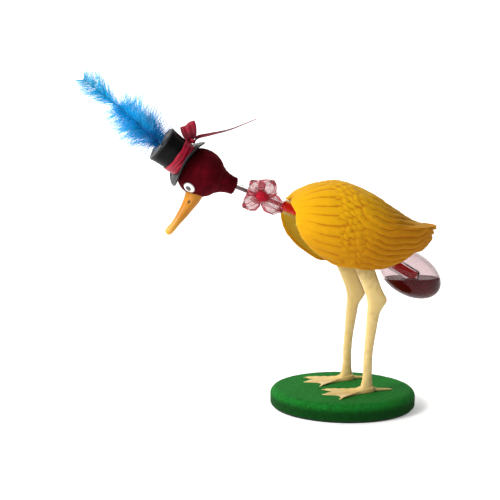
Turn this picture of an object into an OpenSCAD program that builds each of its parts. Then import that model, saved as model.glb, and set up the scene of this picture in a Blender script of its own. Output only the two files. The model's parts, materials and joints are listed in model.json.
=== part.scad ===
// Drinking bird: a glass bird that rocks on a steel axle between two fixed legs.
// Millimetres. The bird faces -X, its left side is -Y, and the base stands on z = 0.

/* [Base] */
// Diameter of the round base
base_d = 75; // [62:0.5:100]
// Height of the base above its pad
base_h = 8.5; // [7:0.1:14]
// Rounding of the base's upper edge
base_round = 3.6; // [1:0.1:4]
// Thickness of the felt pad
pad_t = 1; // [0.5:0.1:2]
// Distance from the base's edge in to the pad's edge
pad_inset = 1.5; // [1:0.1:4]

/* [Legs] */
// Thickness of a leg, side to side
leg_t = 4.2; // [3.5:0.1:5]
// Height of the hock above the top of the base
hock_h = 46; // [36:1:56]
// Distance of the ankle behind the centre of the base
ankle_x = 8.2; // [6:0.1:11]
// Thickness of the webbed foot
foot_t = 1.6; // [1.2:0.1:2.4]
// Length of the foot in front of the ankle
foot_len = 24.5; // [20:0.5:28]
// Half the spread of the toes
toe_spread = 10.5; // [8:0.5:12]
// Diameter of the peg under each ankle
peg_d = 5; // [4.6:0.1:6]
// Diameter of the leg screw's thread
screw_d = 2; // [1.6:0.1:2.4]
// Diameter of the leg screw's head
screw_head_d = 4; // [3.4:0.1:5]

/* [Pivot] */
// Height of the axle above the surface that the bird stands on
pivot_z = 97; // [85:1:117]
// Position of the axle in front of the centre of the base
pivot_front = 1.5; // [0:0.1:3]
// Diameter of the steel axle
axle_d = 2.4; // [2:0.1:3]
// Outside diameter of the eye at the top of each leg
eye_d = 8.4; // [7:0.1:10]
// Thickness of the clip's sheet metal
clip_t = 0.7; // [0.5:0.1:1]
// Length of the clip along the tube
clip_len = 7; // [5:0.5:9]
// Diameter of the stop rod
stop_d = 2; // [1.6:0.1:2.4]
// Distance of the stop rod below the axle
stop_drop = 12.5; // [12:0.1:14]

/* [Glass] */
// Outside diameter of the tube
tube_d = 7; // [6:0.1:8.5]
// Bore of the tube
tube_bore = 3.4; // [2.6:0.1:5]
// Slope of the tube below the pivot
low_slope = 30; // [24:1:34]
// Bend in the tube, in front of the pivot
bend = 8.4; // [4:0.2:14]
// Radius of that bend
bend_r = 40; // [30:1:60]
// Distance along the tube from below the axle to the bend
bend_ahead = 9; // [8:0.5:12]
// Distance along the tube from the bend to the middle of the head
head_dist = 68; // [60:1:76]
// Distance along the tube from below the axle to the middle of the lower bulb
bulb_dist = 47.9; // [44:0.5:52]
// Diameter of the lower bulb
bulb_d = 23; // [19:0.5:28]
// Length of the lower bulb
bulb_len = 38; // [32:1:44]
// Thickness of the bulbs' glass
glass_t = 0.8; // [0.6:0.1:1.2]
// Diameter of the glass bulb inside the head
head_bulb_d = 20.6; // [18:0.2:22]
// Depth that the tube reaches into the bulb inside the head
tube_in_head = 2.5; // [1.5:0.5:4]
// Distance that the tube reaches past the middle of the lower bulb
tube_in_bulb = 3.9; // [0:0.1:8]
// Level of the liquid below the middle of the lower bulb
liquid_drop = 2.2; // [0:0.1:5]
// Length of the liquid's column above the bend
column_up = 23; // [10:1:50]

/* [Body shell] */
// Length of the body
body_len = 83.5; // [74:0.5:100.5]
// Height of the body
body_h = 50; // [44:0.5:58]
// Width of the body
body_w = 49; // [44:0.5:60]
// Wall of the body shell
shell_t = 1.6; // [1.2:0.1:2]
// Half the opening between the shells at the breast
breast_gap = 12; // [10:0.5:13]
// Distance from a body shell's rib to the tube's axis at its lower end
rib_drop = 6.5; // [5.5:0.1:8]
// Thickness of the shells' ribs
rib_t = 2.4; // [2:0.1:3]
// Half the width of the ribs across both shells
rib_half = 8; // [6.5:0.1:9]
// Diameter of the dowels that join the shells
dowel_d = 2; // [1.5:0.1:2.4]

/* [Head] */
// Diameter of the felt head
head_d = 23.8; // [23:0.2:27]
// Length of the felt collar, from the middle of the head
collar_len = 18.4; // [16:0.2:22]
// Thickness of the felt collar
collar_t = 0.8; // [0.6:0.1:1.4]
// Distance of the bill's tip from the middle of the head
bill_reach = 34; // [30:0.5:38]
// Diameter of an eye
eye_white_d = 6; // [4.5:0.1:7]
// Diameter of a pupil
pupil_d = 2.9; // [2:0.1:3.6]

/* [Hat] */
// Backward tilt of the hat from the neck's line
hat_tilt = 14.4; // [8:0.2:20]
// Diameter of the crown at its top
crown_d = 18.4; // [17:0.2:20]
// Diameter of the crown at the brim
crown_low_d = 16; // [14:0.2:18]
// Height of the hat
hat_h = 14.8; // [12:0.2:19]
// Diameter of the brim
brim_d = 26; // [23:0.2:30]
// Wall of the hat
hat_t = 0.8; // [0.6:0.1:1.2]
// Height of the ribbon band
band_h = 5.4; // [3.5:0.1:7]
// Thickness of the ribbon band
band_t = 0.5; // [0.3:0.1:0.8]
// Width of the loose ribbon
ribbon_w = 3.4; // [2:0.1:5]
// Reach of the loose ribbon behind the crown
ribbon_reach = 29; // [20:1:36]
// Length of the feather above the crown
feather_len = 49; // [40:1:60]
// Backward tilt of the feather from the hat's axis
feather_tilt = 3; // [0:0.5:6]
// Diameter of the feather's quill
quill_d = 1.1; // [0.8:0.1:1.6]

/* [Neck bow] */
// Distance along the tube from the bend to the bow
bow_dist = 36.2; // [30:0.5:42]
// Diameter of a loop
loop_d = 8.8; // [7:0.2:11]
// Depth of a loop, front to back
loop_t = 4; // [2:0.1:5]
// Diameter of the fluffy knot
knot_d = 7; // [5:0.2:9]

/* [Fits] */
// Running clearance of the axle in each leg, on the radius
run_gap = 0.05; // [0.02:0.01:0.1]
// Clearance between pieces that are glued, fused or squeezed together
seat_gap = 0.03; // [0.02:0.01:0.05]
// Clearance between the stop rod and the legs at rest
stop_gap = 0.05; // [0.02:0.01:0.2]
// Clearance from a leg's inner face to the bulb that swings past it
bulb_gap = 0.4; // [0.3:0.1:1]
// Clearance from a leg's outer face to the edge of a body shell
shell_gap = 1.2; // [0.8:0.1:2]

/* [Hidden] */
$fn = 48;

// Derived places and sizes
base_top = pad_t + base_h;
tube_r = tube_d / 2;
grommet_t = 0.8;
grommet_r = tube_r + grommet_t;
grommet_len = 6;
clip_r = grommet_r + seat_gap + clip_t;
axle_r = axle_d / 2;
axle_above = clip_r + axle_r + 0.1;          // axle above the tube's axis
leg_y = bulb_d / 2 + bulb_gap + leg_t / 2;   // middle of each leg
leg_out = leg_y + leg_t / 2;
belly_gap = leg_out + shell_gap;             // half the opening under the body
bulb_r = bulb_d / 2;
head_bulb_r = head_bulb_d / 2;
head_r = head_d / 2;
pivot = [-pivot_front, 0, pivot_z];

// Smooth step from 0 at a to 1 at b
function ramp(a, b, v) = let(t = min(1, max(0, (v - a) / (b - a)))) t * t * (3 - 2 * t);
// Catmull-Rom point between q and r
function curve(p, q, r, s, t) =
    0.5 * (2 * q + (r - p) * t + (2 * p - 5 * q + 4 * r - s) * t * t
           + (3 * q - p - 3 * r + s) * t * t * t);
// Closed smooth outline through points, n steps a span
function loop(points, n) = let(c = len(points))
    [for (i = [0:c - 1], k = [0:n - 1])
        curve(points[(i + c - 1) % c], points[i], points[(i + 1) % c], points[(i + 2) % c], k / n)];
// Open smooth line through points, n steps a span
function line(points, n) = let(c = len(points) - 1)
    [for (i = [0:c - 1], k = [0:n - 1])
        curve(points[max(i - 1, 0)], points[i], points[i + 1], points[min(i + 2, c)], k / n),
     points[c]];
// Offset from the axle, given level and upward, in the lower tube's own directions
function along_low(dx, dz) = [dx * cos(low_slope) - dz * sin(low_slope),
                              dx * sin(low_slope) + dz * cos(low_slope)];

// ---- Places that pieces are built in ----
// Lower tube: +X runs down to the bulb, and the origin is on the tube's axis below the axle
module at_low() { translate(pivot) rotate([0, low_slope, 0]) translate([0, 0, -axle_above]) children(); }
// Upper tube: +X runs down to the bend, which is the origin
module at_up() { at_low() translate([-bend_ahead, 0, 0]) rotate([0, -bend, 0]) children(); }
// Head: the origin is its middle, +Z runs up the neck and -X is forward
module at_head() { at_up() translate([-head_dist, 0, 0]) rotate([0, -90, 0]) children(); }
// Hat: +Z is the crown's axis
module at_hat() { at_head() rotate([0, hat_tilt, 0]) children(); }
// A rod or ring along the lower tube, with its middle at x
module rod_x(r, h, x = 0) { translate([x, 0, 0]) rotate([0, 90, 0]) cylinder(r = r, h = h, center = true); }
// A rod across the bird
module rod_y(r, h) { rotate([90, 0, 0]) cylinder(r = r, h = h, center = true); }

// Rings of the whole neck's path: each is its place from the bend, level and up, and its slope
bend_steps = 6;
function neck_path(up, down) = let(t = bend_r * tan(bend / 2))
    [[-up, 0, 0],
     for (k = [0:bend_steps]) let(a = bend * k / bend_steps) [bend_r * sin(a) - t, bend_r * cos(a) - bend_r, a],
     [(down + bend_ahead) * cos(bend), -(down + bend_ahead) * sin(bend), bend]];
// Round bar, or a tube with a bore, along the neck: straight to the head, a bend, straight to the bulb
sides = 32;
function neck_ring(p, r) = [for (j = [0:sides - 1]) let(b = 360 * (j + 0.5) / sides)
    [p[0] + r * cos(b) * sin(p[2]), r * sin(b), p[1] + r * cos(b) * cos(p[2])]];
module neck_sweep(r, up, down, bore = 0) {
    path = neck_path(up, down);
    m = len(path) - 1;
    n = (m + 1) * sides;
    hollow = bore > 0;
    walls = [for (k = [0:m - 1], j = [0:sides - 1]) let(a = k * sides + j, b = k * sides + (j + 1) % sides)
        each concat([[a, b, b + sides], [a, b + sides, a + sides]],
            hollow ? [[n + a, n + b + sides, n + b], [n + a, n + a + sides, n + b + sides]] : [])];
    e = m * sides;
    ends = hollow
        ? [for (j = [0:sides - 1]) let(b = (j + 1) % sides) each
            [[j, n + b, b], [j, n + j, n + b], [e + j, e + b, n + e + b], [e + j, n + e + b, n + e + j]]]
        : [[for (j = [sides - 1:-1:0]) j], [for (j = [0:sides - 1]) e + j]];
    points = concat([for (p = path) each neck_ring(p, r)],
                    hollow ? [for (p = path) each neck_ring(p, bore)] : []);
    at_up() polyhedron(points, concat(walls, ends), convexity = 4);
}

// ---- Stand ----
peg_h = 3.5;                // depth of the pegs and of their holes
screw_head_h = 1.4;
screw_top = base_top + 4.5;
module base() {
    color("forestgreen") difference() {
        translate([0, 0, pad_t]) rotate_extrude($fn = 96) {
            square([base_d / 2 - base_round, base_h]);
            square([base_d / 2, base_h - base_round]);
            translate([base_d / 2 - base_round, base_h - base_round]) intersection() {
                circle(r = base_round);
                square(base_round);
            }
        }
        for (s = [-1, 1]) translate([ankle_x, s * leg_y, 0]) {
            translate([0, 0, base_top - peg_h - seat_gap]) cylinder(d = peg_d + 2 * seat_gap, h = peg_h + 1);
            cylinder(d = screw_d + 2 * seat_gap, h = base_top);
            cylinder(d = screw_head_d + 2 * seat_gap, h = pad_t + screw_head_h + seat_gap);
        }
    }
}

module base_pad() {
    color("darkslategray") cylinder(d = base_d - 2 * pad_inset, h = pad_t - seat_gap, $fn = 96);
}

// The leg in side view: its front edge from the eye down, then its rear edge up from the heel
hock_z = base_top + hock_h;
thigh_front = [[-pivot_front - eye_d / 2 + 0.6, pivot_z - 3], [-0.3, hock_z + 20]];
function thigh_front_x(z) = let(a = thigh_front[0], b = thigh_front[1])
    a[0] + (b[0] - a[0]) * (a[1] - z) / (a[1] - b[1]);
leg_front = line([thigh_front[1], [4.1, hock_z + 10], [7.3, hock_z + 1], [7.2, hock_z - 8],
                  [ankle_x - 2.2, base_top + 19], [ankle_x - 2.6, base_top + 8],
                  [ankle_x - 4.4, base_top + foot_t / 2]], 5);
leg_rear = line([[ankle_x + 4, base_top + foot_t / 2], [ankle_x + 2.3, base_top + 6],
                 [ankle_x + 2.3, base_top + 19], [12.8, hock_z - 12], [14.4, hock_z - 5],
                 [17.9, hock_z + 0.6], [15.6, hock_z + 5.5], [12.9, hock_z + 12],
                 [pivot_front + 4.5, pivot_z - 11], [eye_d / 2 - pivot_front - 0.3, pivot_z - 2]], 5);

// Webbed foot in plan, with three front toes and one behind
module foot_plan() {
    toes = [[-foot_len + 3.5, toe_spread - 1], [-foot_len, 0], [-foot_len + 5, -toe_spread]];
    polygon([[3.4, 1.6], [0, 3.2], [-6, 4], toes[0] + [0.6, 1.1], toes[0] + [-0.4, 0.2], toes[0] + [1.2, -1.1],
             [-foot_len + 6.5, 3.6], toes[1] + [0.8, 0.9], toes[1] + [0, 0], toes[1] + [0.8, -0.9],
             [-foot_len + 7, -4], toes[2] + [1.4, 0.9], toes[2] + [-0.2, -0.2], toes[2] + [1, -1],
             [-6, -4.2], [0, -3.2], [3.4, -1.6], [13.6, -0.5], [14.2, 0], [13.6, 0.5]]);
}

module leg(side) {
    color("moccasin") difference() {
        union() {
            translate([0, side * leg_y + leg_t / 2, 0]) rotate([90, 0, 0]) linear_extrude(leg_t) {
                polygon(concat([thigh_front[0]], leg_front, leg_rear));
                translate([-pivot_front, pivot_z]) circle(d = eye_d);
            }
            translate([ankle_x, side * leg_y, base_top + seat_gap]) {
                linear_extrude(foot_t) foot_plan();
                translate([0, 0, -peg_h]) cylinder(d = peg_d, h = peg_h + foot_t / 2);
            }
        }
        translate([pivot[0], side * leg_y, pivot[2]]) rod_y(axle_r + run_gap, leg_t + 2);
        translate([ankle_x, side * leg_y, 0]) cylinder(d = screw_d + 2 * seat_gap, h = screw_top + seat_gap);
    }
}
module leg_left() { leg(-1); }
module leg_right() { leg(1); }

module leg_screws() {
    color("silver") for (s = [-1, 1]) translate([ankle_x, s * leg_y, pad_t]) {
        cylinder(d = screw_d, h = screw_top - pad_t);
        difference() {
            cylinder(d = screw_head_d, h = screw_head_h);
            translate([0, 0, screw_head_h / 4 - 1]) cube([screw_head_d + 1, 0.6, 2], center = true);
        }
    }
}

// ---- Pivot ----
module pivot_axle() { color("silver") translate(pivot) rod_y(axle_r, 2 * leg_out + 0.8); }

stop_at = [thigh_front_x(pivot_z - stop_drop) - stop_d / 2 - stop_gap + pivot_front, -stop_drop];
module stop_rod() {
    color("silver") translate(pivot + [stop_at[0], 0, stop_at[1]]) rod_y(stop_d / 2, 2 * leg_out - 1);
}

// Folded sheet clip: a band round the tube, and two side plates that hold the axle and the stop rod
plate_rim = 1.6;            // sheet left round the axle's hole
rod_rim = 1.2;              // sheet left round the stop rod's hole
module pivot_clip() {
    stop_low = along_low(stop_at[0], stop_at[1]);
    color("lightsteelblue") difference() {
        at_low() {
            rod_x(clip_r, clip_len);
            for (s = [-1, 1]) translate([0, s * (clip_r - clip_t / 2), 0]) rotate([90, 0, 0])
                linear_extrude(clip_t, center = true) {
                    translate([0, axle_above]) circle(r = axle_r + plate_rim);
                    translate([-clip_len / 2, -1]) square([clip_len, axle_above + 1]);
                    translate([stop_low[0], stop_low[1] + axle_above]) circle(r = stop_d / 2 + rod_rim);
                    polygon([[-clip_len / 2, 0], [clip_len / 2 + 2.6, 0],
                             [stop_low[0] + stop_d / 2 + rod_rim, stop_low[1] + axle_above],
                             [stop_low[0] - stop_d / 2 - rod_rim, stop_low[1] + axle_above]]);
                }
        }
        at_low() rod_x(grommet_r + seat_gap, clip_len + 8);
        translate(pivot) rod_y(axle_r + seat_gap, 4 * clip_r);
        translate(pivot + [stop_at[0], 0, stop_at[1]]) rod_y(stop_d / 2 + seat_gap, 4 * clip_r);
    }
}

front_rib_up = 8.5;     // front rib's place up the neck from the bend
rear_rib_down = 14;     // rear rib's place down the tube from the axle
// Rubber sleeves on the tube, under the clip and under each pair of ribs
module sleeve(x) { rod_x(grommet_r, grommet_len, x); }
module sleeve_bore(x) { rod_x(tube_r + seat_gap, grommet_len + 2, x); }
module tube_grommets() {
    color("dimgray") {
        at_up() difference() { sleeve(-front_rib_up); sleeve_bore(-front_rib_up); }
        at_low() difference() { sleeve(0); sleeve_bore(0); }
        at_low() difference() { sleeve(rear_rib_down); sleeve_bore(rear_rib_down); }
    }
}

// ---- Glass ----
module neck_tube() {
    up = head_dist - head_bulb_r + glass_t + tube_in_head;
    down = bulb_dist + tube_in_bulb;
    color("whitesmoke", 0.5) neck_sweep(tube_r, up, down, tube_bore / 2);
}

module head_bulb() {
    color("whitesmoke", 0.5) at_head() difference() {
        sphere(r = head_bulb_r, $fn = 96);
        sphere(r = head_bulb_r - glass_t, $fn = 96);
        translate([0, 0, -2 * head_bulb_r]) cylinder(r = tube_r + seat_gap, h = 2 * head_bulb_r);
    }
}

// Half outline of the egg-shaped bulb, shrunk by a wall, along its axis
function egg(wall, n = 24) = let(a = bulb_len / 2 - wall, b = bulb_r - wall)
    [for (i = [0:n]) let(t = 180 * i / n) [b * sin(t), a * cos(t)]];
module bulb_solid(wall) {
    at_low() translate([bulb_dist, 0, 0]) rotate([0, 90, 0])
        rotate_extrude($fn = 72) polygon(egg(wall));
}

module lower_bulb() {
    color("whitesmoke", 0.5) difference() {
        bulb_solid(0);
        bulb_solid(glass_t);
        at_low() translate([bulb_dist - bulb_len, 0, 0]) rotate([0, 90, 0])
            cylinder(r = tube_r + seat_gap, h = bulb_len);
    }
}

bulb_mid_z = pivot_z - axle_above * cos(low_slope) - bulb_dist * sin(low_slope);
module liquid_pool() {
    color("darkred") difference() {
        bulb_solid(glass_t + seat_gap);
        translate([-body_len, -body_w, bulb_mid_z - liquid_drop]) cube([3 * body_len, 2 * body_w, pivot_z]);
        at_low() rod_x(tube_r + seat_gap, 4 * (tube_in_bulb + 4), bulb_dist - tube_in_bulb - 8);
    }
}

module liquid_column() {
    color("crimson") neck_sweep(tube_bore / 2 - 2 * seat_gap, column_up, bulb_dist + tube_in_bulb - 1);
}

// ---- Body shells ----
// Side outline of the body about its middle, as shares of its length and height, from the tail forward
body_mid = [pivot[0] + 7.5, pivot_z - 4];
body_outline = loop([for (p = [[0.518, 0.004], [0.502, -0.07], [0.472, -0.17], [0.402, -0.285], [0.29, -0.42],
                              [0.112, -0.512], [-0.089, -0.498], [-0.215, -0.39], [-0.345, -0.245],
                              [-0.435, -0.075], [-0.472, 0.1], [-0.462, 0.225], [-0.418, 0.31],
                              [-0.345, 0.392], [-0.236, 0.452], [-0.125, 0.474], [-0.02, 0.42],
                              [0.092, 0.325], [0.226, 0.188], [0.341, 0.07], [0.44, 0.022]])
                     [p[0] * body_len, p[1] * body_h]], 3);
// Inward normal of the outline at its i-th point
function inward(o, i) = let(c = len(o), d = o[(i + 1) % c] - o[(i + c - 1) % c]) [d[1], -d[0]] / norm(d);
body_inside = [for (i = [0:len(body_outline) - 1]) body_outline[i] + shell_t * inward(body_outline, i)];
// Half the gap between the shells at a point of the outline
function gap_at(p) = let(a = atan2(p[1], p[0]), b = a < 0 ? a + 360 : a)
    seat_gap + (breast_gap * ramp(154, 168, b) + (belly_gap - breast_gap) * ramp(225, 250, b))
    * (1 - ramp(332, 350, b));
fullness = 2.5;     // 2 is an ellipse across the body, and more is squarer
rows = 9;           // rings from a gap's edge to the side
// Ring of points round the body, from the gap's edge (k = 0) to the side (k = rows)
function ring(outline, half, k) = [for (i = [0:len(outline) - 1])
    let(t0 = asin(gap_at(body_outline[i]) / half), t = t0 + (90 - t0) * k / rows, s = sin(t),
        r = pow(max(0, 1 - pow(s, fullness)), 1 / fullness))
    [body_mid[0] + r * outline[i][0], half * s, body_mid[1] + r * outline[i][1]]];
module half_shell() {
    c = len(body_outline);
    w = body_w / 2;
    skin = [for (k = [0:rows - 1]) each ring(body_outline, w, k)];
    lining = [for (k = [0:rows - 1]) each ring(body_inside, w - shell_t, k)];
    m = rows * c;
    points = concat(skin, lining, [[body_mid[0], w, body_mid[1]], [body_mid[0], w - shell_t, body_mid[1]]]);
    faces = [for (i = [0:c - 1]) let(j = (i + 1) % c) each concat(
        [for (k = [0:rows - 2]) let(a = k * c + i, b = k * c + j) each
            [[a, a + c, b + c], [a, b + c, b], [m + a, m + b + c, m + a + c], [m + a, m + b, m + b + c]]],
        [[m - c + i, 2 * m, m - c + j], [2 * m - c + i, 2 * m - c + j, 2 * m + 1],
         [i, j, m + j], [i, m + j, m + i]])];
    polyhedron(points, faces, convexity = 6);
}

// Ribs that reach from the roof down round the sleeves, in the half where y is positive
up_slope = low_slope - bend;
low_foot = [pivot[0], pivot[2]] - axle_above * [sin(low_slope), cos(low_slope)];
rear_foot = low_foot + rear_rib_down * [cos(low_slope), -sin(low_slope)] - body_mid;
front_foot = low_foot + bend_ahead * [-cos(low_slope), sin(low_slope)]
             + front_rib_up * [-cos(up_slope), sin(up_slope)] - body_mid;
function side_of(p, u) = p[0] * u[1] - p[1] * u[0];
// Height of the body's outline above a point, in the direction square to a tube of that slope
function roof(p, slope) = let(o = body_outline, c = len(o), u = [sin(slope), cos(slope)])
    max([for (i = [0:c - 1]) let(a = o[i] - p, b = o[(i + 1) % c] - p, s = side_of(a, u), t = side_of(b, u))
         if (s * t <= 0 && s != t) (a + (b - a) * s / (s - t)) * u]);
rib_sink = shell_t * 0.6;       // from the shell's outer skin down to a rib's top
module ribs() {
    at_up() translate([-front_rib_up - rib_t / 2, seat_gap, -rib_drop])
        cube([rib_t, rib_half - seat_gap, roof(front_foot, up_slope) - rib_sink + rib_drop]);
    at_low() translate([rear_rib_down - rib_t / 2, seat_gap, -rib_drop])
        cube([rib_t, rib_half - seat_gap, roof(rear_foot, low_slope) - rib_sink + rib_drop]);
}
dowel_len = 9;
module rib_holes() {
    at_up() rod_x(grommet_r + seat_gap, rib_t + 2, -front_rib_up);
    at_low() rod_x(grommet_r + seat_gap, rib_t + 2, rear_rib_down);
    dowels(dowel_d / 2 + seat_gap, dowel_len + 2 * seat_gap);
}
module dowels(r, h) {
    at_up() translate([-front_rib_up, 0, grommet_r + 2.6]) rod_y(r, h);
    at_low() translate([rear_rib_down, 0, grommet_r + 5]) rod_y(r, h);
}
module body_half() { difference() { union() { half_shell(); ribs(); } rib_holes(); } }
module body_left() { color("gold") mirror([0, 1, 0]) body_half(); }
module body_right() { color("gold") body_half(); }
module body_dowels() { color("khaki") dowels(dowel_d / 2, dowel_len); }

// ---- Head ----
collar_r = tube_r + seat_gap + collar_t;
chin = asin(7.4 / head_r);      // where the round of the head gives way to the collar's flare
module head_cover() {
    color("maroon") at_head() difference() {
        rotate_extrude($fn = 96) polygon(concat(
            [for (a = [0:7.5:180 - chin]) head_r * [sin(a), cos(a)]],
            line([[head_r * sin(chin), -head_r * cos(chin)], [collar_r + 1.7, -head_r + 0.4],
                  [collar_r + 0.7, -head_r - 2], [collar_r, -collar_len]], 4),
            [[0, -collar_len]]));
        sphere(r = head_bulb_r + seat_gap, $fn = 96);
        translate([0, 0, -collar_len - 1]) cylinder(r = tube_r + seat_gap, h = collar_len);
    }
}

// Bill, narrowing to a slightly turned-up tip
module beak() {
    color("orange") at_head() difference() {
        union() {
            hull($fn = 28) {
                translate([-9, 0, -0.7]) sphere(r = 5);
                translate([-bill_reach * 0.66, 0, 1.2]) sphere(r = 2.3);
            }
            hull($fn = 28) {
                translate([-bill_reach * 0.66, 0, 1.2]) sphere(r = 2.3);
                translate([-bill_reach + 1.9, 0, 4.2]) sphere(r = 1.9);
            }
        }
        sphere(r = head_r + seat_gap, $fn = 96);
    }
}

// Eyes stand on the felt, to each side of the bill's root
eye_turn = 35;              // to the side of straight ahead
eye_lift = 20;              // above the bill
eye_dome = 0.9;             // height of an eye above the felt
module at_eye(side) { at_head() rotate([0, 0, -side * eye_turn]) rotate([0, -90 + eye_lift, 0]) children(); }
// A dome of the given diameter and height on the head's surface
module dome(d, lift, h) {
    r = head_r + lift;
    sink = r - sqrt(r * r - d * d / 4);
    ball = (d * d / 4 + (h + sink) * (h + sink)) / (2 * (h + sink));
    difference() {
        translate([0, 0, r + h - ball]) sphere(r = ball);
        sphere(r = r, $fn = 96);
    }
}
pupil_seat = 0.5;           // from the felt up to the pupil's underside
module eye_white(side) {
    color("white") at_eye(side) difference() {
        dome(eye_white_d, seat_gap, eye_dome);
        translate([0, 0, head_r + pupil_seat]) cylinder(d = pupil_d + 2 * seat_gap, h = 2);
    }
}
module pupil(side) {
    color("black") at_eye(side) translate([0, 0, head_r + pupil_seat + seat_gap]) cylinder(d = pupil_d, h = 0.6);
}
module eye_left() { eye_white(-1); }
module eye_right() { eye_white(1); }
module pupil_left() { pupil(-1); }
module pupil_right() { pupil(1); }

// ---- Hat ----
crown_r = crown_d / 2;
crown_low_r = crown_low_d / 2;
hat_low = sqrt(head_r * head_r - (crown_low_r - hat_t) * (crown_low_r - hat_t)) + seat_gap;
hat_top = hat_low + hat_h;
crown_round = 0.8;
// Radius of the crown at a height above the brim's underside
function crown_at(z) = crown_low_r + (crown_r - crown_low_r) * z / hat_h;
// The feather's place: its root in the crown's top, with +Z along the quill
module at_feather() { at_hat() translate([0, 0, hat_top]) rotate([0, feather_tilt, 0]) children(); }
module hat() {
    color("black") difference() {
        at_hat() translate([0, 0, hat_low]) rotate_extrude($fn = 96) {
            square([brim_d / 2, hat_t]);
            polygon([[0, 0], [crown_low_r, 0], [crown_at(hat_h - crown_round), hat_h - crown_round],
                     [crown_r - crown_round, hat_h], [0, hat_h]]);
            translate([crown_r - crown_round, hat_h - crown_round]) intersection() {
                circle(r = crown_round);
                square(crown_round);
            }
        }
        at_hat() translate([0, 0, hat_low - 1])
            cylinder(r = crown_low_r - hat_t, h = hat_h - hat_t + 1, $fn = 96);
        at_feather() cylinder(d = quill_d + 2 * seat_gap, h = 4, center = true);
    }
}

module hat_band() {
    r0 = crown_at(hat_t + seat_gap) + seat_gap;
    r1 = crown_at(hat_t + band_h) + seat_gap;
    color("crimson") at_hat() translate([0, 0, hat_low + hat_t + seat_gap]) rotate_extrude($fn = 96)
        polygon([[r0, 0], [r0 + band_t, 0], [r1 + band_t, band_h], [r1, band_h]]);
}

// The bow and the loose ribbon start at the back of the band, at this height above the brim
tie_up = band_h * 0.45;
tie_r = crown_at(hat_t + band_h) + band_t + 3 * seat_gap;
module at_tie() { at_hat() translate([tie_r, 0, hat_low + hat_t + tie_up]) rotate([90, 0, 0]) children(); }
// Bow loop standing up behind the crown
bow_w = 5;
module hat_bow() {
    color("crimson") at_tie() linear_extrude(bow_w, center = true) difference() {
        polygon([[0, -1.5], [1.6, -1.3], [3.4, 0.2], [5.9, 3.6], [5.7, 6.6], [3.4, 8], [1.9, 7], [1, 3.5]]);
        polygon([[1.7, 0.6], [3, 1.8], [4.9, 4.1], [4.8, 6], [3.5, 6.8], [2.6, 5.6]]);
    }
}

// Loose end of the ribbon, which stands out stiffly behind the hat
ribbon_t = 0.4;
ribbon_line = line([[0.2, -2.1], [3.8, -1.9], [0.3 * ribbon_reach, -6.1],
                    [0.58 * ribbon_reach, -0.45 * ribbon_reach], [ribbon_reach, -0.72 * ribbon_reach]], 5);
module ribbon_tail() {
    color("crimson") at_tie() linear_extrude(ribbon_w, center = true)
        polygon(concat(ribbon_line, [for (i = [len(ribbon_line) - 1:-1:0]) ribbon_line[i] + [0.3, ribbon_t]]));
}

// Feather: a stiff quill and a flat slab of loose barbs
module feather_quill() {
    color("deepskyblue") at_feather() translate([0, 0, -2]) cylinder(d = quill_d, h = feather_len - 2);
}
module feather_vane() {
    l = feather_len;
    front = line([[1.2, 1], [8.4, 0.12 * l], [10.4, 0.25 * l], [8, 0.42 * l], [4.4, 0.62 * l],
                  [4.6, 0.74 * l], [6.4, 0.88 * l], [5.5, 0.97 * l], [0, 1.03 * l]], 3);
    back = line([[1.2, 1], [8.4, 0.12 * l], [11.4, 0.25 * l], [10.5, 0.42 * l], [8.4, 0.58 * l],
                 [9, 0.72 * l], [10.8, 0.88 * l], [8, 0.98 * l], [0, 1.03 * l]], 3);
    color("deepskyblue") at_feather() difference() {
        rotate([90, 0, 0]) linear_extrude(2, center = true)
            polygon(concat(back, [for (i = [len(front) - 2:-1:0]) [-front[i][0], front[i][1]]]));
        cylinder(d = quill_d + 2 * seat_gap, h = feather_len - 3.5);
    }
}

// ---- Neck bow ----
// Loops lie against the bird's left side, and a band holds them round the tube
module at_bow() { at_up() translate([-bow_dist, 0, 0]) children(); }
band_r = tube_r + seat_gap + 0.8;
module neck_bow() {
    color("lightcoral") at_bow() difference() {
        union() {
            rod_x(band_r, 7);
            for (p = [[-5.6, 4.2], [4.4, 5.4], [-5.2, -4.8], [6.8, -3.6]])
                translate([p[0], -band_r - loop_t / 2 + 0.6, p[1]]) rod_y(loop_d / 2, loop_t);
        }
        rod_x(tube_r + seat_gap, 30);
        translate([0, -band_r - loop_t + 0.8, 0]) sphere(d = knot_d + 2 * seat_gap);
    }
}
module neck_bow_knot() {
    color("firebrick") at_bow() translate([0, -band_r - loop_t + 0.8, 0]) sphere(d = knot_d);
}

base();
base_pad();
leg_left();
leg_right();
leg_screws();
pivot_axle();
pivot_clip();
stop_rod();
tube_grommets();
neck_tube();
head_bulb();
lower_bulb();
liquid_pool();
liquid_column();
body_left();
body_right();
body_dowels();
head_cover();
beak();
eye_left();
eye_right();
pupil_left();
pupil_right();
hat();
hat_band();
hat_bow();
ribbon_tail();
feather_quill();
feather_vane();
neck_bow();
neck_bow_knot();
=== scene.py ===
"""Drinking bird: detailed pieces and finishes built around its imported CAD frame."""

import json
import math

import bmesh
import bpy
import numpy as np
from bpy.props import FloatProperty, FloatVectorProperty, PointerProperty
from mathutils import Matrix, Vector, noise


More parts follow.
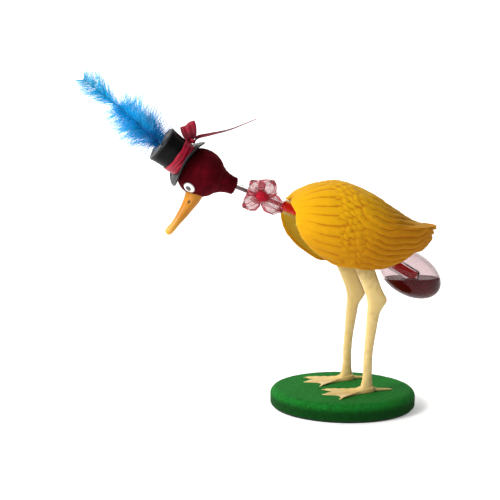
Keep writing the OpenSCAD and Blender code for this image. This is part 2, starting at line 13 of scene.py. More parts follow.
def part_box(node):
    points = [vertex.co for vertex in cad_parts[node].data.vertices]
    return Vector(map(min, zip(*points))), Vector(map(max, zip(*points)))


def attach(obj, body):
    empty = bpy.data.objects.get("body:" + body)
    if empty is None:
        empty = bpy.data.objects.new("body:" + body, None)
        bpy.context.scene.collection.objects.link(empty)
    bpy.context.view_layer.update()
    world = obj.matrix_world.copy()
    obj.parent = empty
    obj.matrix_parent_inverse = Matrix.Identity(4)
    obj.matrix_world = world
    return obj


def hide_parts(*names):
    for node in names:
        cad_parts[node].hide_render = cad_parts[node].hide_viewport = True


bl_info = {
    "name": "Drinking Bird Maker",
    "version": (1, 0, 0),
    "blender": (4, 5, 0),
    "location": "View3D > Sidebar > Bird",
    "description": "Builds a glass drinking bird with its flocked body, felt head, hat, feather and bow",
    "category": "Object",
}

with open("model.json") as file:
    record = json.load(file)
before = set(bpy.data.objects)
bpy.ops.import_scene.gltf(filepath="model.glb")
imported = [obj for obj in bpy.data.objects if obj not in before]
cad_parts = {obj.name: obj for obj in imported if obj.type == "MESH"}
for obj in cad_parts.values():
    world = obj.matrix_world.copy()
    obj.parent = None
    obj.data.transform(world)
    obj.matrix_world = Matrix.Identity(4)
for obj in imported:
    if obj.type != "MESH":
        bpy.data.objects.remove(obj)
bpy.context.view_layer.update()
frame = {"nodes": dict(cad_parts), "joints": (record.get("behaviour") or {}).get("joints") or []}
NODES = frame["nodes"]
AXLE = Vector(frame["joints"][0]["pos_m"]) * 1000  # millimetres, as all the shapes below
BASE_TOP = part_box("base")[1].z * 1000
PAD_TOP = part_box("base_pad")[1].z * 1000
HOCK_Z = BASE_TOP + 46
GAP = 0.03  # between pieces that are glued or squeezed together
RUBBER = 0.8  # wall of the sleeves on the tube
AXLE_R = 1.2


def length(name, default, description):
    settings = {"min": 0.0, "unit": "LENGTH", "precision": 5}
    return FloatProperty(name=name, description=description, default=default, **settings)


def angle(name, degrees, description):
    default = math.radians(degrees)
    return FloatProperty(name=name, description=description, default=default, subtype="ANGLE")


def colour(name, rgb, description):
    settings = {"min": 0.0, "max": 1.0, "subtype": "COLOR"}
    return FloatVectorProperty(name=name, description=description, default=rgb, **settings)


class BirdSizes(bpy.types.PropertyGroup):
    """Sizes of the bird's pieces"""

    tube_d: length("Tube", 0.007, "Outside diameter of the glass neck tube")
    tube_bore: length("Bore", 0.0034, "Bore of the glass neck tube")
    low_slope: angle("Lower slope", 30, "Slope of the tube below the axle")
    bend: angle("Bend", 8.4, "Bend in the tube in front of the axle")
    bend_r: length("Bend radius", 0.04, "Radius of the tube's bend")
    bend_ahead: length("Bend place", 0.009, "Distance from below the axle to the bend")
    head_dist: length("Head place", 0.068, "Distance from the bend to the middle of the head")
    bulb_dist: length("Bulb place", 0.0479, "Distance from below the axle to the middle of the bulb")
    bulb_d: length("Bulb", 0.023, "Diameter of the lower bulb")
    leg_t: length("Leg", 0.0042, "Thickness of a leg")
    bulb_len: length("Bulb length", 0.038, "Length of the lower bulb")
    glass_t: length("Glass wall", 0.0008, "Thickness of the blown bulbs")
    column_up: length("Column", 0.023, "Length of the liquid's column above the bend")
    body_len: length("Body length", 0.0835, "Length of the body shells")
    body_h: length("Body height", 0.05, "Height of the body shells")
    body_w: length("Body width", 0.049, "Width across both body shells")
    shell_t: length("Shell wall", 0.0016, "Wall of the body shells")
    breast_gap: length("Breast opening", 0.012, "Half the opening between the shells at the breast")
    feather_relief: length("Feather relief", 0.00075, "Height of the moulded feathers on the body")
    head_d: length("Head", 0.0238, "Diameter of the felt head")
    collar_len: length("Collar", 0.0184, "Length of the felt collar from the middle of the head")
    bill_reach: length("Bill", 0.034, "Distance of the bill's tip from the middle of the head")
    eye_d: length("Eye", 0.006, "Diameter of an eye")
    pupil_d: length("Pupil", 0.0029, "Diameter of a pupil")
    hat_tilt: angle("Hat tilt", 14.4, "Backward tilt of the hat from the neck's line")
    crown_d: length("Crown", 0.0184, "Diameter of the crown at its top")
    crown_low_d: length("Crown foot", 0.016, "Diameter of the crown at the brim")
    hat_h: length("Hat height", 0.0148, "Height of the hat")
    brim_d: length("Brim", 0.026, "Diameter of the brim")
    hat_t: length("Hat wall", 0.0008, "Wall of the hat")
    brim_curl: length("Brim curl", 0.0024, "Rise of the brim's sides and fall of its front and back")
    band_h: length("Band", 0.0054, "Height of the ribbon band")
    ribbon_reach: length("Ribbon", 0.029, "Reach of the loose ribbon behind the crown")
    feather_len: length("Feather", 0.049, "Length of the feather above the crown")
    feather_tilt: angle("Feather tilt", 3, "Backward tilt of the feather from the hat's axis")
    bow_dist: length("Bow place", 0.0362, "Distance from the bend to the neck bow")
    knot_d: length("Knot", 0.007, "Diameter of the bow's fluffy knot")
    camera_lens: FloatProperty(
        name="Lens", description="Focal length of the camera", default=75.96, subtype="DISTANCE_CAMERA"
    )


class BirdFinishes(bpy.types.PropertyGroup):
    """Colours of the bird's pieces"""

    yellow: colour("Body", (0.67, 0.335, 0.002), "Yellow flock of the body shells")
    # Painted shade: this dark orange stands for the shade between the body's feathers and on its lower, rear
    # side
    painted_shade_amber: colour("Body grooves", (0.4, 0.11, 0.001), "Deeper flock in the grooves between feathers")
    green: colour("Base", (0.005, 0.15, 0.014), "Green flock of the base")
    cream: colour("Legs", (0.72, 0.52, 0.19), "Moulded plastic of the legs")
    maroon: colour("Head", (0.085, 0.0012, 0.005), "Felt of the head and collar")
    orange: colour("Bill", (0.54, 0.2, 0.006), "Plastic of the bill")
    black: colour("Hat", (0.0022, 0.0022, 0.0026), "Plastic of the hat")
    crimson: colour("Ribbon", (0.46, 0.004, 0.03), "Satin of the hat band")
    wine: colour("Liquid", (0.13, 0.001, 0.006), "Dyed liquid in the bulb")
    blue: colour("Feather root", (0.001, 0.2, 0.6), "Down at the feather's root")
    cyan: colour("Feather", (0.01, 0.6, 1.0), "Barbs along the feather")
    pale: colour("Barb tips", (0.48, 0.62, 0.7), "Ends of the feather's loose barbs")
    rose: colour("Netting", (0.46, 0.05, 0.07), "Sheer netting of the neck bow")


def mm(name):
    """A size in millimetres."""
    return getattr(bpy.context.scene.bird_sizes, name) * 1000


def tint(name):
    """A colour with alpha."""
    return (*getattr(bpy.context.scene.bird_finishes, name), 1.0)


def deg(name):
    """An angle in degrees."""
    return math.degrees(getattr(bpy.context.scene.bird_sizes, name))


# ---- Places: each maps millimetres in a piece's own directions to metres in the frame ----


def turn(degrees):
    """A turn about +Y, which tips +Z towards +X."""
    return Matrix.Rotation(math.radians(degrees), 4, "Y")


def leg_y():
    """Middle of each leg, with the bulb free to swing between them."""
    return mm("bulb_d") / 2 + 0.4 + mm("leg_t") / 2


def upright():
    """Millimetres to metres, with no turn."""
    return Matrix.Scale(0.001, 4)


def axle_above():
    """Height of the axle over the tube's own axis, with the clip's band and rubber sleeve between."""
    sheet, slack = 0.7, 0.1
    return mm("tube_d") / 2 + RUBBER + GAP + sheet + AXLE_R + slack


def at_low():
    """+X runs down the tube to the bulb, from under the axle."""
    below = Matrix.Translation((0, 0, -axle_above()))
    return upright() @ Matrix.Translation(AXLE) @ turn(deg("low_slope")) @ below


def at_up():
    """+X runs down the neck, and the origin is the bend."""
    return at_low() @ Matrix.Translation((-mm("bend_ahead"), 0, 0)) @ turn(-deg("bend"))


def at_head():
    """The middle of the head, with +Z up the neck and -X forward."""
    return at_up() @ Matrix.Translation((-mm("head_dist"), 0, 0)) @ turn(-90)


def at_hat():
    """The middle of the head, with +Z up the hat."""
    return at_head() @ turn(deg("hat_tilt"))


def hat_low():
    """Height of the brim over the middle of the head."""
    inner = mm("crown_low_d") / 2 - mm("hat_t")
    return math.sqrt((mm("head_d") / 2) ** 2 - inner**2) + GAP


def crown_at(z):
    """Radius of the crown at a height over the brim's underside."""
    low, high = mm("crown_low_d") / 2, mm("crown_d") / 2
    return low + (high - low) * z / mm("hat_h")


def at_tie():
    """Back of the hat band: +X is outward, +Y up the crown and +Z across the bird to its left."""
    hat_t, band_h = mm("hat_t"), mm("band_h")
    ribbon, share_up = 0.5, 0.45
    out = crown_at(hat_t + band_h) + ribbon + 3 * GAP
    tie = Matrix.Translation((out, 0, hat_low() + hat_t + share_up * band_h))
    return at_hat() @ tie @ Matrix.Rotation(math.pi / 2, 4, "X")


def at_feather():
    """The middle of the crown's top, with +Z along the feather."""
    return at_hat() @ Matrix.Translation((0, 0, hat_low() + mm("hat_h"))) @ turn(deg("feather_tilt"))


def at_eye(side):
    """The felt's surface where an eye stands, with +Z outward."""
    outward, down = 35, 70
    toward = Matrix.Rotation(math.radians(-side * outward), 4, "Z")
    return at_head() @ toward @ turn(-down) @ Matrix.Translation((0, 0, mm("head_d") / 2))


# ---- Curves and shapes ----


def ramp(a, b, v):
    """Smooth step from 0 at a to 1 at b."""
    t = np.clip((np.asarray(v, float) - a) / (b - a), 0, 1)
    return t * t * (3 - 2 * t)


def curve(points, steps, closed=False):
    """Catmull-Rom line through points, with that many steps a span."""
    p = np.asarray(points, float)
    c = len(p)
    spans = c if closed else c - 1
    pick = (lambda i: i % c) if closed else (lambda i: min(max(i, 0), c - 1))
    out = []
    for i in range(spans):
        a, b, d, e = (p[pick(i + k)] for k in (-1, 0, 1, 2))
        for k in range(steps):
            t = k / steps
            bend = (2 * a - 5 * b + 4 * d - e) * t**2
            out.append(0.5 * (2 * b + (d - a) * t + bend + (3 * b - a - 3 * d + e) * t**3))
    if not closed:
        out.append(p[-1])
    return np.array(out)


def grain(points, size, seed=0.0):
    """Smooth noise between -1 and 1 at each point, with patches of that size."""
    places = (Vector((x / size + seed, y / size - seed, z / size)) for x, y, z in points)
    return np.array([noise.noise(place) for place in places])


def chance(seed):
    """Numbers that are the same on every run."""
    return np.random.default_rng(seed)


def loft(rings, caps=True, closed=True):
    """Faces through a stack of rings of points."""
    rings = np.asarray(rings, float)
    m, n = rings.shape[:2]
    faces = []
    for k in range(m - 1):
        for j in range(n if closed else n - 1):
            a, b = k * n + j, k * n + (j + 1) % n
            faces.append((a, b, b + n, a + n))
    if caps:
        faces += [tuple(range(n - 1, -1, -1)), tuple(range((m - 1) * n, m * n))]
    return rings.reshape(-1, 3), faces


def lathe(profile, sides=64):
    """Rings of a profile of (radius, height) turned about +Z."""
    a = np.linspace(0, 2 * math.pi, sides, endpoint=False)
    p = np.asarray(profile, float)
    return np.stack([p[:, :1] * np.cos(a), p[:, :1] * np.sin(a), np.repeat(p[:, 1:], sides, 1)], -1)


def frames_along(path):
    """Tangent and two square directions at each point of a path, without twist."""
    path = np.asarray(path, float)
    t = np.gradient(path, axis=0)
    t /= np.linalg.norm(t, axis=1)[:, None] + 1e-12
    side = np.cross(t[0], (0.3, 0.9, 0.31))
    u = np.zeros_like(t)
    for i, d in enumerate(t):
        side = side - d * side.dot(d)
        side = side / (np.linalg.norm(side) + 1e-12)
        u[i] = side
    return t, u, np.cross(t, u)


def tube(path, radii, sides=12):
    """Rings of a round bar whose radius varies along a path."""
    path = np.asarray(path, float)
    _, u, v = frames_along(path)
    a = np.linspace(0, 2 * math.pi, sides, endpoint=False)
    r = np.broadcast_to(np.asarray(radii, float), (len(path),))
    around = np.cos(a)[None, :, None] * u[:, None] + np.sin(a)[None, :, None] * v[:, None]
    return path[:, None] + r[:, None, None] * around


def strip(path, across, width, thick):
    """Rings of a flat ribbon along a path. across gives the direction of its width."""
    path = np.asarray(path, float)
    t = np.gradient(path, axis=0)
    t /= np.linalg.norm(t, axis=1)[:, None]
    across = np.broadcast_to(np.asarray(across, float), path.shape)
    across = across / np.linalg.norm(across, axis=1)[:, None]
    n = np.cross(t, across)
    w = (np.broadcast_to(width, (len(path),)) / 2)[:, None]
    h = (np.broadcast_to(thick, (len(path),)) / 2)[:, None]
    edge = 0.6
    corners = [(-1, 0), (-edge, -1), (edge, -1), (1, 0), (edge, 1), (-edge, 1)]
    return np.stack([path + a * w * across + b * h * n for a, b in corners], 1)


class Shape:
    """Points and faces gathered in millimetres, until they become one mesh."""

    def __init__(self):
        self.points, self.faces, self.slots, self.fields, self.count = [], [], [], [], 0

    def add(self, points, faces, slot=0, **fields):
        points = np.asarray(points, float)
        self.points.append(points)
        self.faces += [tuple(i + self.count for i in f) for f in faces]
        self.slots += [slot] * len(faces)
        self.fields.append((len(points), fields))
        self.count += len(points)
        return self

    def build(self, name, place, materials, body="bird", replaces=(), slot=None, smooth=True, mend=True):
        """Makes the mesh object, sets its finish and lets it ride on its body."""
        points = np.concatenate(self.points)
        mesh = bpy.data.meshes.new(name)
        mesh.from_pydata([place @ Vector(p) for p in points], [], self.faces)
        for key in sorted({k for _, f in self.fields for k in f}):
            values = [np.asarray(f.get(key, 0.0), np.float32) for _, f in self.fields]
            values = np.concatenate([np.broadcast_to(v, (n,)) for v, (n, _) in zip(values, self.fields)])
            mesh.attributes.new(key, "FLOAT", "POINT").data.foreach_set("value", values)
        for material in materials:
            mesh.materials.append(material)
        mesh.polygons.foreach_set("material_index", self.slots)
        if mend:
            work = bmesh.new()
            work.from_mesh(mesh)
            bmesh.ops.recalc_face_normals(work, faces=work.faces)
            work.to_mesh(mesh)
            work.free()
        mesh.polygons.foreach_set("use_smooth", [smooth] * len(mesh.polygons))
        mesh.update()
        piece = bpy.data.objects.new(name, mesh)
        bpy.context.scene.collection.objects.link(piece)
        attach(piece, body)
        if replaces:
            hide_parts(*replaces)
        return piece


# ---- Finishes ----


class Val:
    """A node's output, with Python's arithmetic on it."""

    def __init__(self, finish, socket):
        self.finish, self.socket = finish, socket

    def _maths(self, operation, *values):
        return self.finish.node("ShaderNodeMath", {"operation": operation}, dict(enumerate(values)))

    def __add__(self, other):
        return self._maths("ADD", self, other)

    def __sub__(self, other):
        return self._maths("SUBTRACT", self, other)

    def __rsub__(self, other):
        return self._maths("SUBTRACT", other, self)

    def __mul__(self, other):
        return self._maths("MULTIPLY", self, other)

    __radd__, __rmul__ = __add__, __mul__

    def __pow__(self, other):
        return self._maths("POWER", self, other)

    def between(self, low, high):
        """0 below low and 1 above high, with a smooth step between."""
        settings = {"interpolation_type": "SMOOTHSTEP"}
        ends = {"Value": self, "From Min": low, "From Max": high}
        return self.finish.node("ShaderNodeMapRange", settings, ends)

    def wave(self, period):
        """A sine of this value, from 0 to 1."""
        return self._maths("SINE", self * (2 * math.pi / period)) * 0.5 + 0.5


class Finish:
    """A material on one Principled shader. Constants are set on the shader's own sockets."""

    def __init__(self, name, **constants):
        self.material = bpy.data.materials.new(name)
        self.material.use_nodes = True
        self.tree = self.material.node_tree
        self.shader = self.tree.nodes["Principled BSDF"]
        for key, value in constants.items():
            self.shader.inputs[key.replace("_", " ")].default_value = value

    def node(self, kind, settings=None, values=None, out=0):
        """Adds a node, sets it up, gives its sockets values or links, and returns one output."""
        node = self.tree.nodes.new(kind)
        for key, value in (settings or {}).items():
            setattr(node, key, value)
        for key, value in (values or {}).items():
            socket = node.inputs[key]
            if isinstance(value, Val):
                self.tree.links.new(value.socket, socket)
            else:
                socket.default_value = value
        return Val(self, node.outputs[out])

    def where(self):
        """Coordinates that stay with the piece, in metres."""
        return self.node("ShaderNodeTexCoord", out="Object")

    def field(self, name):
        """A number kept at each point of the mesh."""
        return self.node("ShaderNodeAttribute", {"attribute_name": name}, out="Fac")

    def noise(self, size, detail=3.0, roughness=0.55, stretch=None):
        """Noise from 0 to 1 with patches of a size in millimetres, drawn out along some axes."""
        at = self.where()
        if stretch:
            at = self.node("ShaderNodeMapping", None, {"Vector": at, "Scale": stretch})
        values = {"Vector": at, "Scale": 1000 / size, "Detail": detail, "Roughness": roughness}
        return self.node("ShaderNodeTexNoise", None, values)

    def speck(self, size):
        """Cells of a size in millimetres: the distance to the nearest cell's middle."""
        return self.node("ShaderNodeTexVoronoi", None, {"Vector": self.where(), "Scale": 1000 / size})

    def mix(self, factor, a, b):
        """Colour a where the factor is 0 and b where it is 1."""
        settings = {"data_type": "RGBA", "clamp_factor": True}
        return self.node("ShaderNodeMix", settings, {0: factor, 6: a, 7: b}, out=2)

    def bump(self, height, depth, under=None):
        """A Bump node for a height from 0 to 1, with a depth in millimetres."""
        values = {"Height": height, "Strength": 1.0, "Distance": depth / 1000}
        if under:
            values["Normal"] = under
        return self.node("ShaderNodeBump", None, values)

    def done(self, **links):
        """Links what varies over the surface to the shader, and gives the material."""
        for key, value in links.items():
            self.tree.links.new(value.socket, self.shader.inputs[key.replace("_", " ")])
        return self.material


def shade(rgba, share):
    """A colour made darker or lighter by a share."""
    return (*[min(1.0, c * share) for c in rgba[:3]], 1.0)


def body_flock():
    """Yellow rayon flock over moulded feathers: short fibres, with painted shade in dark orange between the
    feathers and towards the bottom and rear.
    """
    f = Finish(
        "Yellow flock", Roughness=0.95, Specular_IOR_Level=0.15, Sheen_Weight=0.35,
        Sheen_Roughness=0.4,
        Sheen_Tint=(1.0, 0.75, 0.2, 1.0),
    )
    relief = f.field("relief")
    cloud = f.noise(7.0, 2.0)
    fibre = f.noise(0.32, 2.0)
    # Painted shade: the grooves between the moulded feathers are mixed towards dark orange
    deep = (relief * 1.15 + cloud * 0.35 - 0.1).between(0.12, 0.72)
    base = f.mix(deep, tint("painted_shade_amber"), tint("yellow"))
    place = {"Vector": f.where()}
    # Painted shade: the body darkens towards its bottom and its rear
    low = f.node("ShaderNodeSeparateXYZ", None, place, out="Z").between(0.112, 0.076)
    rear = f.node("ShaderNodeSeparateXYZ", None, place, out="X").between(-0.012, 0.03)
    base = f.mix((low + rear).between(0.0, 1.6) * 0.74, base, shade(tint("painted_shade_amber"), 0.85))
    base = f.mix(fibre.between(0.35, 0.75) * 0.22, base, shade(tint("yellow"), 1.25))
    soft = f.bump(cloud, 0.25)
    return f.done(Base_Color=base, Normal=f.bump(fibre + f.speck(0.45) * 0.5, 0.1, soft))


def lining_flock():
    """Paler, thinner flock inside the body shells, made brighter still as painted light, since the inner
    face lies in shade.
    """
    f = Finish("Body lining", Roughness=0.8, Specular_IOR_Level=0.08)
    cloud = f.noise(5.0, 3.0)
    # Partly painted light: the lining's pale yellow is raised so that the shaded inner face looks lit
    base = f.mix(cloud, (0.94, 0.68, 0.07, 1), (0.97, 0.76, 0.11, 1))
    return f.done(Base_Color=base, Normal=f.bump(f.noise(0.5, 2.0), 0.05))


def base_flock():
    """Green flock like short turf, with painted shade darkening its side towards the bottom."""
    f = Finish(
        "Green flock", Roughness=0.97, Sheen_Weight=0.06, Sheen_Roughness=0.5, Specular_IOR_Level=0.1,
        Sheen_Tint=(0.3, 0.9, 0.3, 1.0),
    )
    fibre = f.noise(0.5, 4.0, 0.7)
    tuft = f.noise(2.2, 3.0)
    patch = f.noise(14.0, 2.0)
    green = tint("green")
    base = f.mix(tuft.between(0.25, 0.75), shade(green, 0.62), green)
    base = f.mix(fibre.between(0.52, 0.72) * 0.75, base, (0.05, 0.4, 0.05, 1))
    base = f.mix(patch.between(0.4, 0.7) * 0.3, base, shade(green, 1.35))
    # Painted shade: the side of the base darkens towards the bottom
    height = f.node("ShaderNodeSeparateXYZ", None, {"Vector": f.where()}, out="Z")
    base = f.mix(height.between(0.0085, 0.0045) * 0.8, base, shade(green, 0.1))
    return f.done(Base_Color=base, Normal=f.bump(fibre * 0.7 + f.speck(0.7) * 0.6, 0.32, f.bump(tuft, 0.4)))


def head_felt():
    """Dark red felt with a soft nap."""
    f = Finish(
        "Maroon felt", Roughness=0.98, Specular_IOR_Level=0.05, Sheen_Weight=0.3,
        Sheen_Roughness=0.35,
        Sheen_Tint=(0.7, 0.05, 0.08, 1.0),
    )
    fibre = f.noise(0.35, 4.0, 0.65)
    patch = f.noise(5.0, 2.0)
    base = f.mix(fibre.between(0.3, 0.75), shade(tint("maroon"), 0.45), tint("maroon"))
    base = f.mix(patch.between(0.45, 0.8) * 0.5, base, shade(tint("maroon"), 1.8))
    return f.done(Base_Color=base, Normal=f.bump(fibre + f.speck(0.4) * 0.4, 0.16))


def leg_plastic():
    """Cream plastic with a faint moulded skin, with painted shade in brown in its grooves, on the rear side,
    up under the body and in the web between the toes.
    """
    f = Finish(
        "Cream leg plastic", Specular_IOR_Level=0.42, Subsurface_Weight=0.12, Subsurface_Scale=0.002,
        Subsurface_Radius=(1.0, 0.7, 0.3),
    )
    # Painted shade: where the relief field is low, brown is mixed in for shade
    crease = f.field("relief")
    cloud = f.noise(4.0, 3.0)
    pore = f.noise(0.6, 3.0)
    base = f.mix(crease.between(0.0, 0.8), (0.36, 0.21, 0.045, 1), tint("cream"))
    base = f.mix(cloud.between(0.4, 0.75) * 0.4, base, (0.76, 0.6, 0.3, 1))
    skin = f.bump(pore, 0.04, f.bump(cloud, 0.08))
    return f.done(Base_Color=base, Roughness=0.36 + pore * 0.18, Normal=skin)


def bill_plastic():
    """Orange plastic, paler towards the tip, with painted shade in the nostril pits."""
    f = Finish("Bill plastic", Specular_IOR_Level=0.3, Coat_Weight=0.06, Coat_Roughness=0.3)
    cloud = f.noise(6.0, 3.0)
    scratch = f.noise(0.8, 3.0, 0.6, (0.25, 1.0, 1.0))
    base = f.mix(cloud.between(0.3, 0.75), shade(tint("orange"), 0.86), tint("orange"))
    base = f.mix(f.field("tip"), base, (0.72, 0.35, 0.045, 1))
    # Painted shade: the nostril pits are near black
    base = f.mix(f.field("hole"), base, (0.02, 0.012, 0.008, 1))
    return f.done(Base_Color=base, Roughness=0.27 + scratch * 0.2, Normal=f.bump(scratch, 0.03))


def hat_plastic():
    """Black moulded plastic with a satin surface that is polished by handling at its edges, where a lighter
    grey is a painted highlight.
    """
    f = Finish("Black hat plastic", Specular_IOR_Level=0.08, Coat_Weight=0.05, Coat_Roughness=0.22)
    cloud = f.noise(3.0, 4.0)
    pore = f.noise(0.35, 2.0)
    polish_and_highlight = f.field("edge")
    base = f.mix(cloud.between(0.35, 0.7) * 0.5, tint("black"), (0.005, 0.005, 0.0055, 1))
    # Painted highlight: the edges are mixed towards a lighter grey
    base = f.mix(polish_and_highlight * 0.4, base, (0.05, 0.05, 0.053, 1))
    rough = (0.33 + cloud * 0.14) - polish_and_highlight * 0.12
    return f.done(Base_Color=base, Roughness=rough, Normal=f.bump(pore, 0.025, f.bump(cloud, 0.03)))


def satin_ribbon():
    """Crimson satin: fine threads across the ribbon and brighter floats along it, with painted shade in its
    pleats, low on the bow loop, on the loop's second half, on the knot and along the loose ribbon.
    """
    f = Finish(
        "Crimson satin", Specular_IOR_Level=0.3, Anisotropic=0.5, Sheen_Weight=0.03,
        Sheen_Roughness=0.25,
        Sheen_Tint=(1.0, 0.4, 0.5, 1.0),
    )
    thread = f.noise(0.22, 2.0, 0.5, (1.0, 1.0, 6.0))
    cloud = f.noise(3.0, 2.0)
    fold = f.field("fold")
    base = f.mix(thread.between(0.3, 0.7), shade(tint("crimson"), 0.62), tint("crimson"))
    # Painted shade: the satin is darkened by the field read here
    base = f.mix(fold * 0.75, base, (0.055, 0.0, 0.01, 1))
    base = f.mix(cloud.between(0.5, 0.75) * 0.4, base, (0.62, 0.02, 0.07, 1))
    return f.done(Base_Color=base, Roughness=0.3 + thread * 0.18, Normal=f.bump(thread, 0.04))


def clear_glass(name, rgba):
    """Blown glass with a trace of unevenness."""
    f = Finish(name, Transmission_Weight=1.0, IOR=1.28, Specular_IOR_Level=0.5, Base_Color=rgba)
    smear = f.noise(4.0, 3.0)
    return f.done(Roughness=smear.between(0.55, 0.9) * 0.05, Normal=f.bump(f.noise(6.0, 1.0), 0.04))


def dyed_liquid(name, rgb, clear, glow):
    """Liquid that light passes through: the glow stands for the light that comes in through the glass."""
    f = Finish(
        name, Transmission_Weight=clear, IOR=1.2, Specular_IOR_Level=0.2, Emission_Strength=glow,
        Emission_Color=rgb,
    )
    depth = f.noise(8.0, 2.0)
    base = f.mix(depth.between(0.3, 0.8), shade(rgb, 0.8), shade(rgb, 1.15))
    return f.done(Base_Color=base, Roughness=0.02 + depth * 0.03)


def brushed_steel():
    """Drawn steel with fine lines across the bird."""
    f = Finish("Drawn steel", Metallic=1.0)
    line = f.noise(0.25, 2.0, 0.5, (1.0, 0.06, 1.0))
    base = f.mix(line, (0.42, 0.42, 0.43, 1), (0.66, 0.66, 0.67, 1))
    return f.done(Base_Color=base, Roughness=0.24 + line * 0.22, Normal=f.bump(line, 0.015))


def black_rubber():
    """Black rubber with a little dust."""
    f = Finish("Black rubber", Specular_IOR_Level=0.3)
    dust = f.noise(0.9, 4.0)
    base = f.mix(dust.between(0.4, 0.8), (0.018, 0.018, 0.018, 1), (0.06, 0.058, 0.055, 1))
    return f.done(Base_Color=base, Roughness=0.62 + dust * 0.2, Normal=f.bump(dust, 0.05))


def pad_felt():
    """Dark felt under the base."""
    f = Finish("Pad felt", Roughness=1.0, Sheen_Weight=0.3, Specular_IOR_Level=0.05)
    fibre = f.noise(0.6, 4.0, 0.7)
    base = f.mix(fibre.between(0.3, 0.75), (0.008, 0.02, 0.012, 1), (0.035, 0.06, 0.04, 1))
    return f.done(Base_Color=base, Normal=f.bump(fibre, 0.25))


def peg_plastic():
    """Plain moulded plastic of the dowels."""
    f = Finish("Peg plastic", Specular_IOR_Level=0.4)
    cloud = f.noise(1.5, 3.0)
    base = f.mix(cloud, (0.7, 0.62, 0.4, 1), (0.82, 0.76, 0.55, 1))
    return f.done(Base_Color=base, Roughness=0.4 + cloud * 0.15)


def eye_white():
    """White enamel under a glossy coat, with a grey line round the edge."""
    f = Finish("Eye white", Roughness=0.18, Coat_Weight=1.0, Coat_Roughness=0.04)
    cloud = f.noise(1.2, 2.0)
    base = f.mix(cloud.between(0.3, 0.8), (0.78, 0.77, 0.74, 1), (0.88, 0.87, 0.84, 1))
    return f.done(Base_Color=f.mix(f.field("rim"), base, (0.25, 0.22, 0.2, 1)))


def pupil_black():
    """Glossy black with a lighter edge and faint bluish flecks that are a painted reflection."""
    f = Finish("Pupil", Roughness=0.08, Coat_Weight=1.0, Coat_Roughness=0.03)
    ring = f.field("rim")
    base = f.mix(ring, (0.006, 0.006, 0.008, 1), (0.035, 0.04, 0.05, 1))
    # Painted reflection: faint bluish flecks over the black
    return f.done(Base_Color=f.mix(f.noise(0.8, 2.0).between(0.5, 0.8) * 0.3, base, (0.05, 0.06, 0.075, 1)))


def feather_down():
    """Dyed barbs: deep blue at the root, cyan along the feather, paler at each barb's end."""
    f = Finish(
        "Blue feather", Roughness=0.8, Sheen_Weight=0.1, Sheen_Roughness=0.4, Specular_IOR_Level=0.2,
        Sheen_Tint=(0.4, 0.85, 1.0, 1.0),
    )
    along, tip, luck = f.field("along"), f.field("tip"), f.field("luck")
    fleck = f.noise(0.5, 2.0)
    base = f.mix((along + luck * 0.16 - 0.05).between(0.04, 0.36), tint("blue"), tint("cyan"))
    base = f.mix(fleck.between(0.35, 0.75) * 0.4, base, (0.003, 0.36, 0.85, 1))
    base = f.mix((tip + luck * 0.3).between(0.8, 1.3) * 0.6, base, tint("pale"))
    base = f.mix((along + luck * 0.1).between(0.6, 1.0) * 0.5, base, (0.04, 0.5, 0.66, 1))
    return f.done(Base_Color=base)


def quill_horn():
    """Dyed quill with pale streaks."""
    f = Finish("Quill", Roughness=0.4, Specular_IOR_Level=0.5)
    along = f.field("along")
    streak = f.noise(0.4, 2.0)
    base = f.mix(along, shade(tint("blue"), 0.7), (0.02, 0.2, 0.36, 1))
    return f.done(Base_Color=f.mix(streak * 0.4, base, (0.12, 0.4, 0.6, 1)))


def sheer_netting():
    """Sheer net: fine crossed threads, thicker along the hem, and see-through between, with painted
    pink-white highlights.
    """
    f = Finish(
        "Sheer netting", Roughness=0.45, Specular_IOR_Level=0.5, Sheen_Weight=0.6,
        Sheen_Roughness=0.3,
        Sheen_Tint=(1.0, 0.75, 0.75, 1.0),
    )
    u, v = f.field("across"), f.field("along")
    threads = (u + v).wave(0.9) ** 5 + (u - v).wave(0.9) ** 5
    hem, gather = f.field("hem"), f.field("gather")
    glint = f.noise(1.1, 3.0)
    base = f.mix(gather + hem * 0.8, tint("rose"), (0.36, 0.008, 0.03, 1))
    # Painted highlight: pink-white glints mixed in by noise
    base = f.mix(glint.between(0.56, 0.7) * 0.5, base, (0.95, 0.6, 0.62, 1))
    cover = threads * 0.3 + hem * 0.5 + gather * 0.3 + glint.between(0.45, 0.75) * 0.15 + 0.28
    return f.done(Base_Color=base, Alpha=cover.between(0.0, 1.0))


def knot_fluff():
    """Fluffy red yarn."""
    f = Finish(
        "Red fluff", Roughness=0.95, Sheen_Weight=0.5, Sheen_Roughness=0.4, Specular_IOR_Level=0.1,
        Sheen_Tint=(1.0, 0.2, 0.25, 1.0),
    )
    fibre = f.noise(0.4, 4.0, 0.7)
    base = f.mix(fibre.between(0.3, 0.7), (0.22, 0.002, 0.01, 1), (0.62, 0.015, 0.04, 1))
    return f.done(Base_Color=base, Normal=f.bump(fibre, 0.2))


def refinish(node, material):
    """Gives a CAD node that keeps its shape a better finish."""
    for slot in NODES[node].material_slots:
        slot.material = material


# ---- Operators ----


